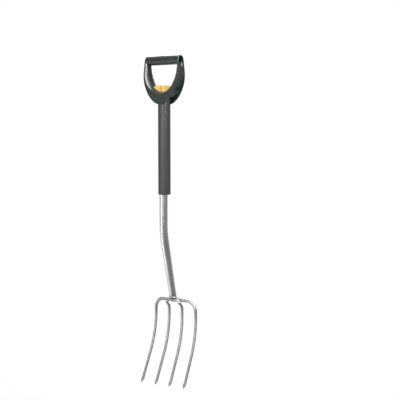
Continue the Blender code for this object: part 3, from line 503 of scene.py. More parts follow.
weldLook = {
    "bare": rgb(0.46, 0.455, 0.45),
    "dull": rgb(0.24, 0.225, 0.22),
    "oxide": rgb(0.10, 0.09, 0.085),
    "rough": 0.36,
    "lumps": 420.0,
    "cloud": 110.0,
    "relief": 0.0003,
}


def weldSteel():
    # bare weld metal: fine lumps, darker oxide between the ripples
    look = weldLook
    finish = Finish("weldSteel")
    place = finish.place()
    lumps = finish.grain(place, look["lumps"], 3.0)
    cloud = finish.grain(place, look["cloud"], 3.0)
    hollow = 1 - finish.edges().between(0.42, 0.5)
    colour = finish.tint(look["bare"], look["dull"], cloud.between(0.4, 0.7))
    colour = finish.tint(colour, look["oxide"], hollow * 0.7)
    rough = look["rough"] + lumps * 0.2 + hollow * 0.15
    normal = finish.relief(look, lumps, 0.5)
    return finish.shade(colour=colour, rough=rough, metal=0.9, normal=normal)


smallLook = {
    "zinc": rgb(0.55, 0.55, 0.54),
    "zincRough": 0.28,
    "spring": rgb(0.36, 0.36, 0.38),
    "springRough": 0.24,
    "darker": 0.7,
    "cloud": 160.0,
    "fine": 1400.0,
    "relief": 0.00008,
    "edge": 0.0003,
}


def smallSteel(name, colour, rough):
    # zinc-plated or spring steel of the small parts
    look = smallLook
    finish = Finish(name)
    place = finish.place()
    cloud = finish.grain(place, look["cloud"], 3.0)
    fine = finish.grain(place, look["fine"])
    darker = rgb(*(part * look["darker"] for part in colour[:3]))
    shade = finish.tint(colour, darker, cloud.between(0.4, 0.75))
    normal = finish.relief(look, fine, 0.4)
    return finish.shade(colour=shade, rough=rough + cloud * 0.1, metal=1.0, normal=normal)


finishes = {
    "plastic": mouldedPlastic(),
    "sleeve": drawnPlastic(),
    "black": blackPlastic(),
    "orange": orangePlastic(),
    "shaft": drawnSteel(),
    "tine": forgedSteel(),
    "weld": weldSteel(),
    "zinc": smallSteel("zincSteel", smallLook["zinc"], smallLook["zincRough"]),
    "spring": smallSteel("springSteel", smallLook["spring"], smallLook["springRough"]),
}
print("finishes:", len(finishes))


def settle(piece, body, finish, slotName, *replaced):
    # material, body and the solids that the piece stands for; the slot name is not used
    piece.data.materials.clear()
    piece.data.materials.append(finishes[finish])
    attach(piece, body)
    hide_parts(*replaced)
    return piece


handle = {
    # the D, with heights measured down from the top of the grip
    "halfWidth": 0.0695,
    "height": 0.1540,
    "widestAt": 0.0446,
    "shoulderRise": 0.19,
    "fullness": 1.84,
    "rim": 0.0043,
    "halfDepth": 0.0230,
    "shieldStartsAt": 0.0906,
    "crotchAt": 0.1204,
    # the legs
    "legInset": 0.0004,
    "crownRadius": 0.041,
    "belly": 0.38,  # how far the inner face swells, as a share of the leg's half depth
    "bellyEnds": radians(56),  # how far round the crotch the swelling fades out
    "plate": 0.0032,
    "web": 0.0028,
    "edge": 0.0009,
    "channelFillet": 0.0014,
    "channelChamfer": 0.0003,
    # the grip, its bore and the mouths at the bore's ends
    "gripRadius": 0.01505,
    "gripEndRadius": 0.0142,
    "ringRadius": 0.0148,
    "ringLength": 0.0075,
    "ringRound": 0.0032,
    "ringBlend": 0.004,
    "boreRadius": 0.0108,
    "mouthHalfWidth": 0.0098,
    "mouthDepth": 0.0054,
    "mouthRise": 0.006,
    "mouthDrop": 0.014,
    # the boss below each end of the bore, with a steep scoop that leads out of it
    "bossInset": 0.0004,
    "bossRoot": 0.0053,
    "bossTop": 0.0042,
    "bossShoulder": -0.0090,
    "bossFoot": -0.0205,
    "bossEdge": 0.0008,
    "scoopRadius": 0.0114,
    "scoopSlope": radians(70),
    "scoopBack": 0.0040,
    "scoopAt": -0.0010,
    "scoopReach": 0.03,
    # the block that holds the button's well
    "blockInset": 0.001,
    "wellWall": 0.0025,
    "wellFloor": 0.0028,
    "neckBelowFloor": 0.0012,
}
button = {
    "topAt": 0.0940,
    "crown": 0.0028,
    "halfWidth": 0.0378,
    "halfDepth": 0.0065,
    "skirtAt": 0.1246,
    "skirtHalfWidth": 0.042,
    "skirtDrop": 0.026,
    "edge": 0.0012,
    "travel": 0.008,
    "roomBelow": 0.001,
    "columnRadius": 0.0085,
    "columnStands": 0.0004,
    "columnFoot": 0.0003,
    "dish": 0.0006,  # how deep the thumb's hollow in the column is
    "dishShare": 0.85,
    "stemRadius": 0.0035,
    "stemBelowFloor": 0.0001,
    "flutes": 3,
    "fluteRadius": 0.0014,
    "flutePitch": 0.0075,
    "fluteStart": 0.65,  # the first flute's distance from the column, in pitches
    "fluteOut": 0.4,  # how far its middle lies outside the face, in radii
}
sleeve = {"halfWidth": 0.0188, "halfDepth": 0.0209, "wall": 0.0020}
spigot = {"length": 0.0126, "wall": 0.0024}

gripAxis = handle["gripRadius"]
gripTop = 2 * gripAxis
handleTip = gripTop - handle["height"]
handleWidest = gripTop - handle["widestAt"]
crotchZ = gripTop - handle["crotchAt"]
innerRim = handle["halfWidth"] - handle["rim"]
buttonTop = gripTop - button["topAt"]
buttonRoom = button["travel"] + button["roomBelow"]
skirtZ = gripTop - button["skirtAt"]
wellFloorZ = skirtZ - buttonRoom
cavityTop = wellFloorZ - handle["wellFloor"]
neckBottom = cavityTop - handle["neckBelowFloor"]
spigotBottom = neckBottom - spigot["length"]


def outlineShare(x, z):
    # below 1 inside the handle's outer outline
    drop = handleWidest - z
    reach = handle["height"] - handle["widestAt"] if drop > 0 else handle["shoulderRise"]
    return (abs(x) / handle["halfWidth"]) ** handle["fullness"] + (drop / reach) ** 2


def rimWidth(point, outward):
    # how far the outline is from a point, found by halving
    near, far = 0.0, handle["height"]
    for _ in range(34):
        middle = (near + far) / 2
        spot = point + outward * middle
        if outlineShare(spot.x, spot.z) < 1:
            near = middle
        else:
            far = middle
    return near


def legDepth(z):
    share = (gripAxis - z) / (gripAxis - gripTop + handle["shieldStartsAt"])
    least = handle["ringRadius"] - handle["legInset"]
    return least + (handle["halfDepth"] - least) * ease(share)


def legSection(point, outward, follow):
    # C section: (how far in from the outline, y), first the front half, then its mirror
    width = rimWidth(point, outward)
    depth = legDepth(point.z)
    inside = depth - handle["plate"]
    edge = handle["edge"]
    fillet = handle["channelFillet"]
    chamfer = handle["channelChamfer"]
    crown = handle["crownRadius"] - sqrt(handle["crownRadius"] ** 2 - depth**2)
    belly = crown + (handle["belly"] * depth - crown) * follow
    faceSteps, floorSteps = 16, 8

    def swell(height, y):
        return height * (1 - (y / depth) ** 2)

    half = []
    for i in range(faceSteps + 1):
        y = (depth - edge) * i / faceSteps
        half.append((width + swell(belly, y), y))
    lip = swell(belly, depth - edge)
    for angle in quarter(5, 1):
        half.append((width - edge + (edge + lip) * cos(angle), depth - edge + edge * sin(angle)))
    for angle in quarter(5):
        half.append((edge * (1 - sin(angle)), depth - edge + edge * cos(angle)))
    half.append((0.0, inside + chamfer))
    half.append((chamfer, inside))
    floor = width - handle["web"]
    for angle in quarter(4):
        y = inside - fillet * (1 - cos(angle))
        half.append((floor + follow * swell(crown, y) - fillet * (1 - sin(angle)), y))
    for i in range(1, floorSteps + 1):
        y = (inside - fillet) * (1 - i / floorSteps)
        half.append((floor + follow * swell(crown, y), y))
    ring = half + [(back, -y) for back, y in half[-2:0:-1]]
    return [point + outward * (width - back) + Vector((0, y, 0)) for back, y in ring]


def handleLegs():
    # down the straight part, round to the crotch, and up the other side
    stations = []
    steps = 10
    for i in range(steps):
        z = gripAxis + (handleWidest - gripAxis) * i / steps
        stations.append((Vector((innerRim, 0, z)), Vector((1, 0, 0)), 1.0))
    drop = handleWidest - crotchZ
    for angle in quarter(54):
        point = Vector((innerRim * cos(angle), 0, handleWidest - drop * sin(angle)))
        outward = Vector((cos(angle) / innerRim, 0, -sin(angle) / drop)).normalized()
        stations.append((point, outward, ease(1 - angle / handle["bellyEnds"])))
    flip = Vector((-1, 1, 1))
    mirrored = [(point * flip, outward * flip, follow) for point, outward, follow in stations[-2::-1]]
    return skin("handleMoulding", [legSection(*station) for station in stations + mirrored])


def skirt(halfWidth, shift, steps=40):
    # the button's lower edge, from right to left
    start = asin(min(1.0, halfWidth / button["skirtHalfWidth"]))
    points = []
    for i in range(steps + 1):
        angle = start * (1 - 2 * i / steps)
        z = skirtZ + button["skirtDrop"] * (1 - cos(angle)) - shift
        points.append((button["skirtHalfWidth"] * sin(angle), z))
    return points


def gripBarrel():
    # a barrel with a rounded ring at each end, and where it ends
    narrowing = 1 - ((gripAxis - handleWidest) / handle["shoulderRise"]) ** 2
    end = handle["halfWidth"] * narrowing ** (1 / handle["fullness"])
    start = end - handle["ringLength"]
    profile = [(0.0, end)]
    for angle in quarter(6):
        radius = handle["ringRadius"] - handle["ringRound"] * (1 - sin(angle))
        profile.append((radius, end - handle["ringRound"] * (1 - cos(angle))))
    profile.append((handle["ringRadius"], start))
    inner = start - handle["ringBlend"]
    middle = []
    steps = 24
    for i in range(steps + 1):
        x = inner * (1 - 2 * i / steps)
        swell = (handle["gripRadius"] - handle["gripEndRadius"]) * (1 - (x / start) ** 2)
        middle.append((handle["gripEndRadius"] + swell, x))
    profile += middle + [(radius, -x) for radius, x in reversed(profile)]
    place = Matrix.Translation((0, 0, gripAxis)) @ Matrix.Rotation(pi / 2, 4, "Y")
    return spin("gripBarrel", profile, place, 96), end


def sleeveOval(name, thinner, low, high):
    # a bar with the sleeve's section, thinner all round
    wide, deep = (sleeve[key] - thinner for key in ("halfWidth", "halfDepth"))
    rings = []
    for z in (low, high):
        rings.append([Vector((wide * cos(angle), deep * sin(angle), z)) for angle in around(96)])
    return skin(name, rings)


def addWellBlock(piece):
    # below the legs' inner line, round the well
    shell = handle["wellWall"] + gap
    blockHalf = button["halfWidth"] + shell
    drop = handleWidest - crotchZ
    top = []
    steps = 28
    for i in range(steps + 1):
        x = blockHalf * (2 * i / steps - 1)
        z = handleWidest - drop * sqrt(1 - (x / innerRim) ** 2)
        top.append((x, z - handle["blockInset"]))
    outline = top + skirt(blockHalf, buttonRoom + shell)
    carve(piece, slab("well", outline, handle["halfDepth"] - handle["blockInset"]), "UNION")


def addNeck(piece):
    # the neck above the sleeve's seat, and the hollow spigot inside the sleeve
    thin = sleeve["wall"] + gap
    carve(piece, sleeveOval("neck", 0.0, neckBottom, crotchZ - sunk), "UNION")
    carve(piece, sleeveOval("seat", -gap, handleTip - past, neckBottom))
    carve(piece, sleeveOval("spigot", thin, spigotBottom, neckBottom + sunk), "UNION")
    carve(piece, sleeveOval("cavity", thin + spigot["wall"], spigotBottom - past, cavityTop))


def cutWell(piece):
    # room for the button's wings, column and stem
    top = buttonTop + past
    half = button["halfWidth"] + gap
    outline = [(-half, top), *reversed(skirt(half, buttonRoom)), (half, top)]
    carve(piece, slab("wings", outline, button["halfDepth"] + gap))
    column = button["columnRadius"] + gap
    carve(piece, rod("column", column, (0, 0, wellFloorZ), (0, 0, top), 64))
    ends = (0, 0, cavityTop - past), (0, 0, wellFloorZ + past)
    carve(piece, rod("stemHole", button["stemRadius"] + gap, *ends))


def cutBore(piece, gripEnd):
    # through the whole grip, with a curved mouth below each end
    reach = handle["halfWidth"] + past
    bore = rod("bore", handle["boreRadius"], (-reach, 0, gripAxis), (reach, 0, gripAxis), 100)
    top = gripAxis - handle["boreRadius"] + handle["mouthRise"]
    ramp = [(reach, top)]
    for angle in quarter(16):
        x = gripEnd - handle["mouthDepth"] * cos(angle)
        ramp.append((x, top - handle["mouthDrop"] * sin(angle)))
    ramp.append((reach, top - handle["mouthDrop"]))
    for side in (1, -1):
        outline = [(side * x, z) for x, z in ramp]
        carve(bore, slab("mouth", outline, handle["mouthHalfWidth"]), "UNION")
    carve(piece, bore)


def boreBoss(side, gripEnd):
    outer = gripEnd - handle["bossInset"]
    root = gripEnd - handle["bossRoot"]
    outline = [
        (side * root, handle["bossFoot"]),
        (side * outer, handle["bossShoulder"]),
        (side * outer, handle["bossTop"]),
        (side * root, handle["bossTop"]),
    ]
    boss = slab("boss", outline, handle["ringRadius"] - handle["plate"])
    slope = handle["scoopSlope"]
    along = Vector((side * cos(slope), 0, -sin(slope))) * handle["scoopReach"]
    facing = Vector((side * sin(slope), 0, cos(slope)))
    middle = Vector((side * (gripEnd - handle["scoopBack"]), 0, handle["scoopAt"]))
    middle = middle + facing * handle["scoopRadius"]
    carve(boss, rod("scoop", handle["scoopRadius"], middle - along, middle + along, 80))
    roundOff(boss, handle["bossEdge"], 3, 25)
    return boss


def makeHandle():
    piece = handleLegs()
    grip, gripEnd = gripBarrel()
    carve(piece, grip, "UNION")
    addWellBlock(piece)
    addNeck(piece)
    cutWell(piece)
    cutBore(piece, gripEnd)
    for side in (1, -1):
        carve(piece, boreBoss(side, gripEnd), "UNION")
    smooth(piece, 34)
    return settle(piece, "handle", "plastic", "dark_plastic", "handle_frame")


makeHandle()
print("handle made")


def buttonColumn():
    # a round column with a soft edge and a shallow hollow for the thumb
    top = buttonTop + button["columnStands"]
    radius = button["columnRadius"]
    edge = button["edge"]
    full = button["dishShare"]
    profile = [(0.0, top - button["dish"])]
    for share in (0.2, 0.4, 0.6, 0.75, full):
        profile.append(((radius - edge) * share, top - button["dish"] * (1 - ease(share / full))))
    for angle in quarter(5):
        profile.append((radius - edge * (1 - sin(angle)), top - edge * (1 - cos(angle))))
    foot = skirtZ + button["columnFoot"]
    return spin("column", profile + [(radius, foot), (0.0, foot)])


def cutFlutes(piece):
    low, high = skirtZ - past, buttonTop + past
    for side in (1, -1):
        for i in range(button["flutes"]):
            x = side * (button["columnRadius"] + button["flutePitch"] * (i + button["fluteStart"]))
            for face in (1, -1):
                y = face * (button["halfDepth"] + button["fluteRadius"] * button["fluteOut"])
                carve(piece, rod("flute", button["fluteRadius"], (x, y, low), (x, y, high), 24))


def makeButton():
    top = []
    steps = 40
    for i in range(steps + 1):
        share = 2 * i / steps - 1
        top.append((button["halfWidth"] * share, buttonTop - button["crown"] * share**2))
    outline = top + skirt(button["halfWidth"], 0.0)
    piece = slab("buttonMoulding", outline, button["halfDepth"], button["edge"], 5)
    carve(piece, buttonColumn(), "UNION")
    cutFlutes(piece)
    ends = (0, 0, cavityTop - button["stemBelowFloor"]), (0, 0, skirtZ + sunk)
    carve(piece, rod("stem", button["stemRadius"], *ends, 32), "UNION")
    smooth(piece)
    return settle(piece, "button", "orange", "orange_plastic", "release_button")


makeButton()
print("button made")


shaft = {
    "radius": 0.0130,
    "endRadius": 0.0112,
    "wall": 0.0015,
    "forward": 0.0049,
    "straightBelow": 0.0933,
    "bendRadius": 0.32,
    "lean": radians(12.8),
    "leanHeight": 0.1731,
    "holes": 5,
    "holeRadius": 0.0040,
    "holeReach": 0.03,
    "topHoleBelow": 0.026,
    "travel": 0.2,
}
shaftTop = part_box("steel_shaft")[1].z
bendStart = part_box("outer_sleeve")[0].z - shaft["straightBelow"]
shaftDown = Vector((0, sin(shaft["lean"]), -cos(shaft["lean"])))


def shaftLine():
    # points of the middle line from top to weld, each with how much of the taper lies above it
    points = []
    straight, bent, leaning = 8, 32, 16
    for i in range(straight + 1):
        z = shaftTop + (bendStart - shaftTop) * i / straight
        points.append((Vector((0, -shaft["forward"], z)), 0.0))
    for i in range(1, bent + 1):
        angle = shaft["lean"] * i / bent
        y = -shaft["forward"] + shaft["bendRadius"] * (1 - cos(angle))
        points.append((Vector((0, y, bendStart - shaft["bendRadius"] * sin(angle))), 0.0))
    start = points[-1][0]
    length = shaft["leanHeight"] / cos(shaft["lean"])
    for i in range(1, leaning + 1):
        points.append((start + shaftDown * length * i / leaning, i / leaning))
    return points


head = {
    "startLean": radians(8.4),
    "endLean": radians(23.0),
    "bendRadius": 0.318,
    "length": 0.2804,
    "seatShare": 0.84,
    "barRadius": 0.0053,
    "innerBarRadius": 0.0048,
    "tineRadius": 0.0043,
    "tipRadius": 0.0040,
    "thinBy": 0.2,  # share of the tine by which the bar has thinned to it
    "outerPitch": 0.0816,
    "outerTipPitch": 0.0866,
    "outerBend": 0.033,
    "innerPitch": 0.0264,
    "innerTipPitch": 0.0284,
    "innerBend": 0.0165,
    "innerRise": 0.003,
    "spread": 1.3,  # above 1, the tines spread late
    "joggle": 0.019,
    "pointLength": 0.017,
    "pointSwell": 0.0013,
    "swellBy": 0.22,
    "pointThickness": 0.0012,
    # share of the point, how wide it is there and how thick
    "point": ((0.0, 1.0, 1.0), (0.25, 1.0, 0.95), (0.5, 0.85, 0.7), (0.8, 0.5, 0.4), (1.0, 0.2, 0.16)),
    "sides": 32,
}
# the seat is the line across the two bars that the shaft's end is cut to
shaftEnd = shaftLine()[-1][0]
crownForward = head["barRadius"] + head["innerBarRadius"] + gap
crownSpan = sqrt(crownForward**2 + head["innerRise"] ** 2)
headBack = Vector((0, cos(head["startLean"]), sin(head["startLean"])))
headDown = Vector((0, sin(head["startLean"]), -cos(head["startLean"])))
seatBack = (headBack * crownForward + headDown * head["innerRise"]) / crownSpan
seatUp = Vector((0, -seatBack.z, seatBack.y))
headStart = shaftEnd - seatUp * (head["barRadius"] + gap)
headStart = headStart + seatBack * crownSpan * head["seatShare"]


def makeShaft():
    line = shaftLine()
    points = [point for point, _ in line]
    radii = [shaft["radius"] + (shaft["endRadius"] - shaft["radius"]) * share for _, share in line]
    points[-1] = points[-1] + shaftDown * shaft["endRadius"]
    piece = sweep("shaftTube", points, radii, 72)
    inner = [points[0] + Vector((0, 0, past)), *points[1:-1], points[-1] + shaftDown * past]
    carve(piece, sweep("bore", inner, [radius - shaft["wall"] for radius in radii], 48))
    wide, deep, low = 2 * shaft["radius"], 3 * shaft["radius"], -4 * shaft["radius"]
    corners = [(-wide, -deep), (wide, -deep), (wide, deep), (-wide, deep)]
    rings = []
    for z in (low, 0.0):
        rings.append([shaftEnd + Vector((x, 0, 0)) + seatBack * y + seatUp * z for x, y in corners])
    carve(piece, skin("seatCut", rings))
    for i in range(shaft["holes"]):
        z = shaftTop - shaft["topHoleBelow"] - shaft["travel"] * i / (shaft["holes"] - 1)
        carve(piece, rod("latchHole", shaft["holeRadius"], (0, 0, z), (0, shaft["holeReach"], z), 40))
    smooth(piece)
    return settle(piece, "fork", "shaft", "shaft_steel", "steel_shaft")


makeShaft()
print("shaft made")


def headPoint(run):
    # a point of the head's side line, and its lean
    bendRun = head["bendRadius"] * (head["startLean"] + head["endLean"])
    turned = min(run, bendRun)
    lean = turned / head["bendRadius"] - head["startLean"]
    y = headStart.y + head["bendRadius"] * (cos(lean) - cos(head["startLean"]))
    z = headStart.z - head["bendRadius"] * (sin(head["startLean"]) + sin(lean))
    rest = run - turned
    return Vector((0, y - rest * sin(lean), z - rest * cos(lean))), lean


def barRoute(pitch, tipPitch, bend, rise):
    # half a bar as (x, run along the head): its crossbar, its bend and its tine
    flat, straight = 8, 60
    route = [((pitch - bend) * i / flat, -rise) for i in range(flat + 1)]
    for angle in quarter(20, 1):
        route.append((pitch - bend * (1 - sin(angle)), bend * (1 - cos(angle)) - rise))
    corner = bend - rise
    last = head["length"] - head["pointLength"]
    for i in range(1, straight + 1):
        share = (i / straight) ** head["spread"]
        route.append((pitch + (tipPitch - pitch) * share, corner + (last - corner) * share))
    return route


def barThickness(run, thick):
    share = min(max(run / (head["length"] - head["pointLength"]), 0.0), 1.0)
    radius = thick + (head["tineRadius"] - thick) * min(share / head["thinBy"], 1.0)
    rest = max(0.0, (share - head["thinBy"]) / (1 - head["thinBy"]))
    return radius + (head["tipRadius"] - head["tineRadius"]) * rest


def barRing(x, run, direction, forward, across, thick, shift):
    centre, lean = headPoint(run)
    normal = Vector((0, cos(lean), -sin(lean)))
    down = Vector((0, -sin(lean), -cos(lean)))
    along = (Vector((direction[0], 0, 0)) + down * direction[1]).normalized()
    side = along.cross(normal)
    middle = centre + Vector((x, 0, 0)) + normal * (shift - forward)
    angles = around(head["sides"])
    return [middle + side * across * cos(angle) + normal * thick * sin(angle) for angle in angles]


def pointForm(share):
    # how wide and how thick the point is at a share of its length
    stops = head["point"]
    for (low, wideLow, thickLow), (high, wideHigh, thickHigh) in zip(stops, stops[1:]):
        if share <= high:
            part = (share - low) / (high - low)
            return wideLow + (wideHigh - wideLow) * part, thickLow + (thickHigh - thickLow) * part


def makeBar(name, replaced, route, thick, lapped):
    stations = []
    for i, (x, run) in enumerate(route):
        before = route[max(i - 1, 0)]
        after = route[min(i + 1, len(route) - 1)]
        direction = (after[0] - before[0], after[1] - before[1])
        forward = lapped * (1 - ease((run - thick) / head["joggle"]))
        radius = barThickness(run, thick)
        stations.append((x, run, direction, forward, radius, radius, 0.0))
    x, run, direction, _, radius = stations[-1][:5]
    steps = 16
    for i in range(1, steps + 1):
        share = i / steps
        across, through = pointForm(share)
        wide = (radius + head["pointSwell"] * ease(share / head["swellBy"])) * across
        thin = max(radius * through, head["pointThickness"] / 2)
        down = run + head["pointLength"] * share
        stations.append((x, down, direction, 0.0, wide, thin, thin - radius))
    right = [barRing(*station) for station in stations]
    left = [[Vector((-point.x, point.y, point.z)) for point in ring] for ring in right[:0:-1]]
    piece = skin(name, left + right)
    smooth(piece, 50)
    return settle(piece, "fork", "tine", "tine_steel", replaced)


outerRoute = barRoute(head["outerPitch"], head["outerTipPitch"], head["outerBend"], 0.0)
makeBar("outerTines", "outer_tine_bar", outerRoute, head["barRadius"], 0.0)
innerRoute = barRoute(head["innerPitch"], head["innerTipPitch"], head["innerBend"], head["innerRise"])
makeBar("innerTines", "inner_tine_bar", innerRoute, head["innerBarRadius"], crownForward)
print("tines made")


weld = {
    "rootRadius": 0.0012,
    "beadRadius": 0.0019,
    "beadHalfLength": 0.011,
    "fullTo": 0.88,  # share of the bead's half length at which its end begins
    "endSize": 0.25,
    "ringRadius": 0.0018,
    # the ring's outside from the shaft down to the bars, in radii outward and up
    "ringForm": (
        (0.0, 1.0), (0.25, 0.98), (0.6, 0.86), (0.95, 0.66), (1.22, 0.42), (1.38, 0.2), (1.4, 0.0)
    ),
    "ringSides": 224,
    "unevenness": ((0.05, 5, 0), (0.04, 11, 1)),  # how much, waves in a turn, and where they start
    "ripple": 0.0016,
    "depth": 0.16,
}


def ripples(run):
    # overlapping crescents of the weld, steep on one side
    phase = (run / weld["ripple"]) % 1.0
    return 1 - weld["depth"] * (1 - sqrt(max(0.0, 1 - (1 - phase) ** 2)))


def makeBead(name, replaced, above, radius):
    # a bead in the groove between the two bars, above or below them
    inner = headStart - seatBack * crownSpan
    reachOuter = head["barRadius"] + radius + gap
    reachInner = head["innerBarRadius"] + radius + gap
    along = (reachInner**2 - reachOuter**2 + crownSpan**2) / (2 * crownSpan)
    middle = inner + seatBack * along + seatUp * sqrt(reachInner**2 - along**2) * above
    points, radii = [], []
    half = 60
    for i in range(2 * half + 1):
        share = i / half - 1
        points.append(middle + Vector((weld["beadHalfLength"] * share, 0, 0)))
        end = max(0.0, (abs(share) - weld["fullTo"]) / (1 - weld["fullTo"]))
        taper = sqrt(max(0.0, 1 - end**2)) * (1 - weld["endSize"]) + weld["endSize"]
        radii.append(radius * taper * ripples(weld["beadHalfLength"] * (share + 1)))
    piece = sweep(name, points, radii, 20)
    smooth(piece, 60)
    return settle(piece, "fork", "weld", "tine_steel", replaced)


def makeWeldRing():
    # round the shaft's end, on the slanting seat
    stretch = 1 / abs(seatUp.dot(shaftDown))
    taper = (shaft["radius"] - shaft["endRadius"]) * cos(shaft["lean"]) / shaft["leanHeight"]
    size = weld["ringRadius"]
    inner = shaft["endRadius"] + gap + taper * 2 * size
    rings = []
    for i in range(weld["ringSides"]):
        angle = 2 * pi * i / weld["ringSides"]
        outward = Vector((cos(angle), 0, 0)) + seatBack * sin(angle) * stretch
        swell = 1 + sum(much * sin(waves * angle + start) for much, waves, start in weld["unevenness"])
        swell = swell * ripples(angle * inner)
        ring = []
        for back, up in weld["ringForm"]:
            spot = shaftEnd - shaftDown * (gap + 2 * size * up * swell)
            ring.append(spot + outward * (inner + size * back * swell))
        ring.append(shaftEnd - shaftDown * gap + outward * inner)
        rings.append(ring)
    piece = skin("weldRing", rings, closed=True)
    smooth(piece, 60)
    return settle(piece, "fork", "weld", "tine_steel", "weld_ring")


makeBead("weldRoot", "weld_bead_upper", 1, weld["rootRadius"])
makeBead("weldBead", "weld_bead_lower", -1, weld["beadRadius"])
makeWeldRing()
print("welds made")


# solids whose shape is right get a smooth twin: its name, body, finish and slot
twins = {
    "outer_sleeve": ("sleeveTube", "handle", "sleeve", "dark_plastic"),
    "lower_guide_bush": ("guideBush", "handle", "black", "black_plastic"),
    "neck_pin": ("neckPin", "handle", "zinc", "spring_steel"),
    "rod_guide": ("rodGuide", "handle", "black", "black_plastic"),
    "rod_guide_rivet": ("rodGuideRivet", "handle", "zinc", "shaft_steel"),
    "latch_block": ("latchBlock", "handle", "black", "black_plastic"),
    "latch_leaf": ("latchLeaf", "handle", "spring", "spring_steel"),
    "latch_rivet_upper": ("latchRivetUpper", "handle", "zinc", "shaft_steel"),
    "latch_rivet_lower": ("latchRivetLower", "handle", "zinc", "shaft_steel"),
    "bush_rivet": ("bushRivet", "handle", "zinc", "shaft_steel"),
    "return_spring": ("returnSpring", "handle", "spring", "spring_steel"),
    "push_rod": ("pushRod", "button", "zinc", "spring_steel"),
    "rod_screw": ("rodScrew", "button", "zinc", "spring_steel"),
    "shaft_top_plug": ("shaftPlug", "fork", "black", "black_plastic"),
    "plug_pin": ("plugPin", "fork", "zinc", "spring_steel"),
}


def makeTwin(node, name, body, finish, slotName):
    shape = bmesh.new()
    shape.from_mesh(nodes[node].data)
    bmesh.ops.remove_doubles(shape, verts=shape.verts[:], dist=0.00001)
    bmesh.ops.dissolve_limit(shape, angle_limit=radians(1), verts=shape.verts[:], edges=shape.edges[:])
    piece = addPiece(name, shape)
    smooth(piece)
    return settle(piece, body, finish, slotName, node)


small = {node: makeTwin(node, *words) for node, words in twins.items()}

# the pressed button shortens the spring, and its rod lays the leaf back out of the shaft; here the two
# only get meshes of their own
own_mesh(small["return_spring"])
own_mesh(small["latch_leaf"])
print("small parts made:", len(small))


stage = {
    "clearance": 0.0018,  # from the points of the drawn-out fork to the floor
    "size": 40.0,
    "colour": rgb(0.86, 0.86, 0.86),
    "pale": rgb(0.90, 0.90, 0.90),
    "speck": 6.0,
    "glow": 0.35,  # how much of the floor under the fork is plain white, which thins the shadow
    "shadowFades": (0.6, 1.25),  # distances between which the whole floor turns white
    "ambient": 0.4,
    # where the white room looks grey in a reflection: azimuth, degrees from it to where the grey
    # starts and to where it is full, and how much light it takes
    "greySides": ((100, 100, 46, 0.74), (-48, 75, 20, 0.66), (190, 60, 20, 0.28)),
    "greyFloor": ((74, 92, 42, 0.72), (190, 60, 20, 0.28)),
}
floorZ = cadLow.z - shaft["travel"] - stage["clearance"]

# azimuth, elevation, distance, size, watts, and the height that the lamp looks at;
# the near ones draw the highlights: right and high on the handle, low on the leaning shaft
lamps = {
    "key": (-19, 4, 3.2, (0.42, 2.6), 22, -0.45),
    "front": (25, 13, 3.6, (0.6, 0.6), 50, -0.45),
    "right": (77, 30, 1.35, (0.22, 1.5), 33, -0.05),
    "high": (76, 68, 1.35, (0.3, 0.6), 15, -0.05),
    "low": (-36, -17, 1.2, (0.2, 0.3), 0.8, -0.68),
    "back": (215, 30, 3.4, (1.6, 1.6), 36, -0.45),
}
photoView = {
    "azimuth": 40.0,
    "elevation": 3.1,
    "distance": 3.9,
    "focal": 1233.0,  # in pixels of the photograph's frame
    "frame": 400.0,
    "sensor": 36.0,
    "aim": Vector((0, 0, -0.44)),
    "right": 0.1123,
    "up": 0.0152,
    "roll": -0.1,
}


def bearing(azimuth, elevation):
    a, e = radians(azimuth), radians(elevation)
    return Vector((sin(a) * cos(e), -cos(a) * cos(e), sin(e)))


def lightPath(finish, *names):
    # 1 for rays of these kinds
    total = 0.0
    for name in names:
        total = finish.add("ShaderNodeLightPath", output=name) + total
    return total


def roomLight(finish, way, sides):
    # 1 where the room is white, less towards its grey sides
    light = 1.0
    for azimuth, wide, narrow, drop in sides:
        nearness = finish.vector("DOT_PRODUCT", way, bearing(azimuth, 0), "Value")
        light = light - nearness.between(cos(radians(wide)), cos(radians(narrow))) * drop
    return light


def showRoom(finish, kind, way, sides, fade, other, output):
    # the camera sees white where fade is 1, mirrors see the room, all other rays the other shader
    camera = lightPath(finish, "Is Camera Ray")
    mirror = lightPath(finish, "Is Glossy Ray", "Is Transmission Ray")
    share = camera + mirror * roomLight(finish, way, sides)
    white = finish.add(kind, None, {"Color": rgb(1, 1, 1), "Strength": 1.0})
    room = finish.add("ShaderNodeMixShader", None, {0: share, 2: white})
    both = finish.add("ShaderNodeMixShader", None, {0: camera * fade + mirror, 1: other, 2: room})
    finish.feed(finish.tree.nodes[output].inputs["Surface"], both)


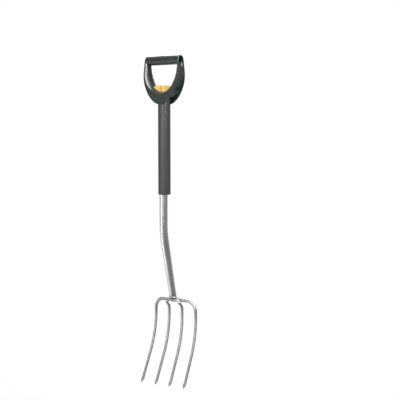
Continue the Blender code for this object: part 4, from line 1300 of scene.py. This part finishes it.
def makeFloor():
    half = stage["size"] / 2
    shape = bmesh.new()
    corners = ((-half, -half), (half, -half), (half, half), (-half, half))
    shape.faces.new([shape.verts.new((x, y, floorZ)) for x, y in corners])
    floor = addPiece("studioFloor", shape)
    finish = Finish("paleFloor")
    place = finish.place()
    colour = finish.tint(stage["colour"], stage["pale"], finish.grain(place, stage["speck"], 3.0))
    finish.shade(colour=colour, rough=0.9, gloss=0.0)
    flat = finish.stretch(place, (1.0, 1.0, 0.0))
    distance = finish.vector("LENGTH", flat, output="Value")
    way = finish.vector("NORMALIZE", flat)
    fade = stage["glow"] + distance.between(*stage["shadowFades"]) * (1 - stage["glow"])
    lit = Wire(finish, finish.tree.nodes["Principled BSDF"].outputs[0])
    showRoom(finish, "ShaderNodeEmission", way, stage["greyFloor"], fade, lit, "Material Output")
    floor.data.materials.append(finish.owner)


def makeWorld():
    bpy.context.scene.world = bpy.data.worlds.new("studio")
    finish = Finish("studio", bpy.context.scene.world)
    way = finish.add("ShaderNodeTexCoord", output="Generated")
    kind = "ShaderNodeBackground"
    soft = finish.add(kind, None, {"Color": rgb(1, 1, 1), "Strength": stage["ambient"]})
    showRoom(finish, kind, way, stage["greySides"], 1.0, soft, "World Output")


def makeLamps():
    for name, (azimuth, elevation, distance, size, watts, aim) in lamps.items():
        light = bpy.data.lights.new(name, "AREA")
        light.shape = "RECTANGLE"
        light.size, light.size_y = size
        light.energy = watts
        lamp = addObject(name, light)
        way = bearing(azimuth, elevation)
        lamp.location = Vector((0, 0, aim)) + way * distance
        lamp.rotation_euler = (-way).to_track_quat("-Z", "Y").to_euler()


def makeCamera():
    lens = bpy.data.cameras.new("photoCamera")
    lens.sensor_width = photoView["sensor"]
    lens.lens = photoView["sensor"] * photoView["focal"] / photoView["frame"]
    lens.clip_start = 0.05
    lens.clip_end = 100.0
    camera = addObject("photoCamera", lens)
    way = bearing(photoView["azimuth"], photoView["elevation"])
    camera.location = photoView["aim"] + way * photoView["distance"]
    azimuth = radians(photoView["azimuth"])
    right = Vector((cos(azimuth), sin(azimuth), 0))
    target = photoView["aim"] + right * photoView["right"] + way.cross(right) * photoView["up"]
    look = (target - camera.location).to_track_quat("-Z", "Y").to_matrix().to_4x4()
    roll = Matrix.Rotation(radians(photoView["roll"]), 4, "Z")
    camera.matrix_world = Matrix.Translation(camera.location) @ look @ roll
    bpy.context.scene.camera = camera


makeFloor()
makeWorld()
makeLamps()
makeCamera()
bpy.context.scene.view_settings.view_transform = "Standard"
print("stage made")
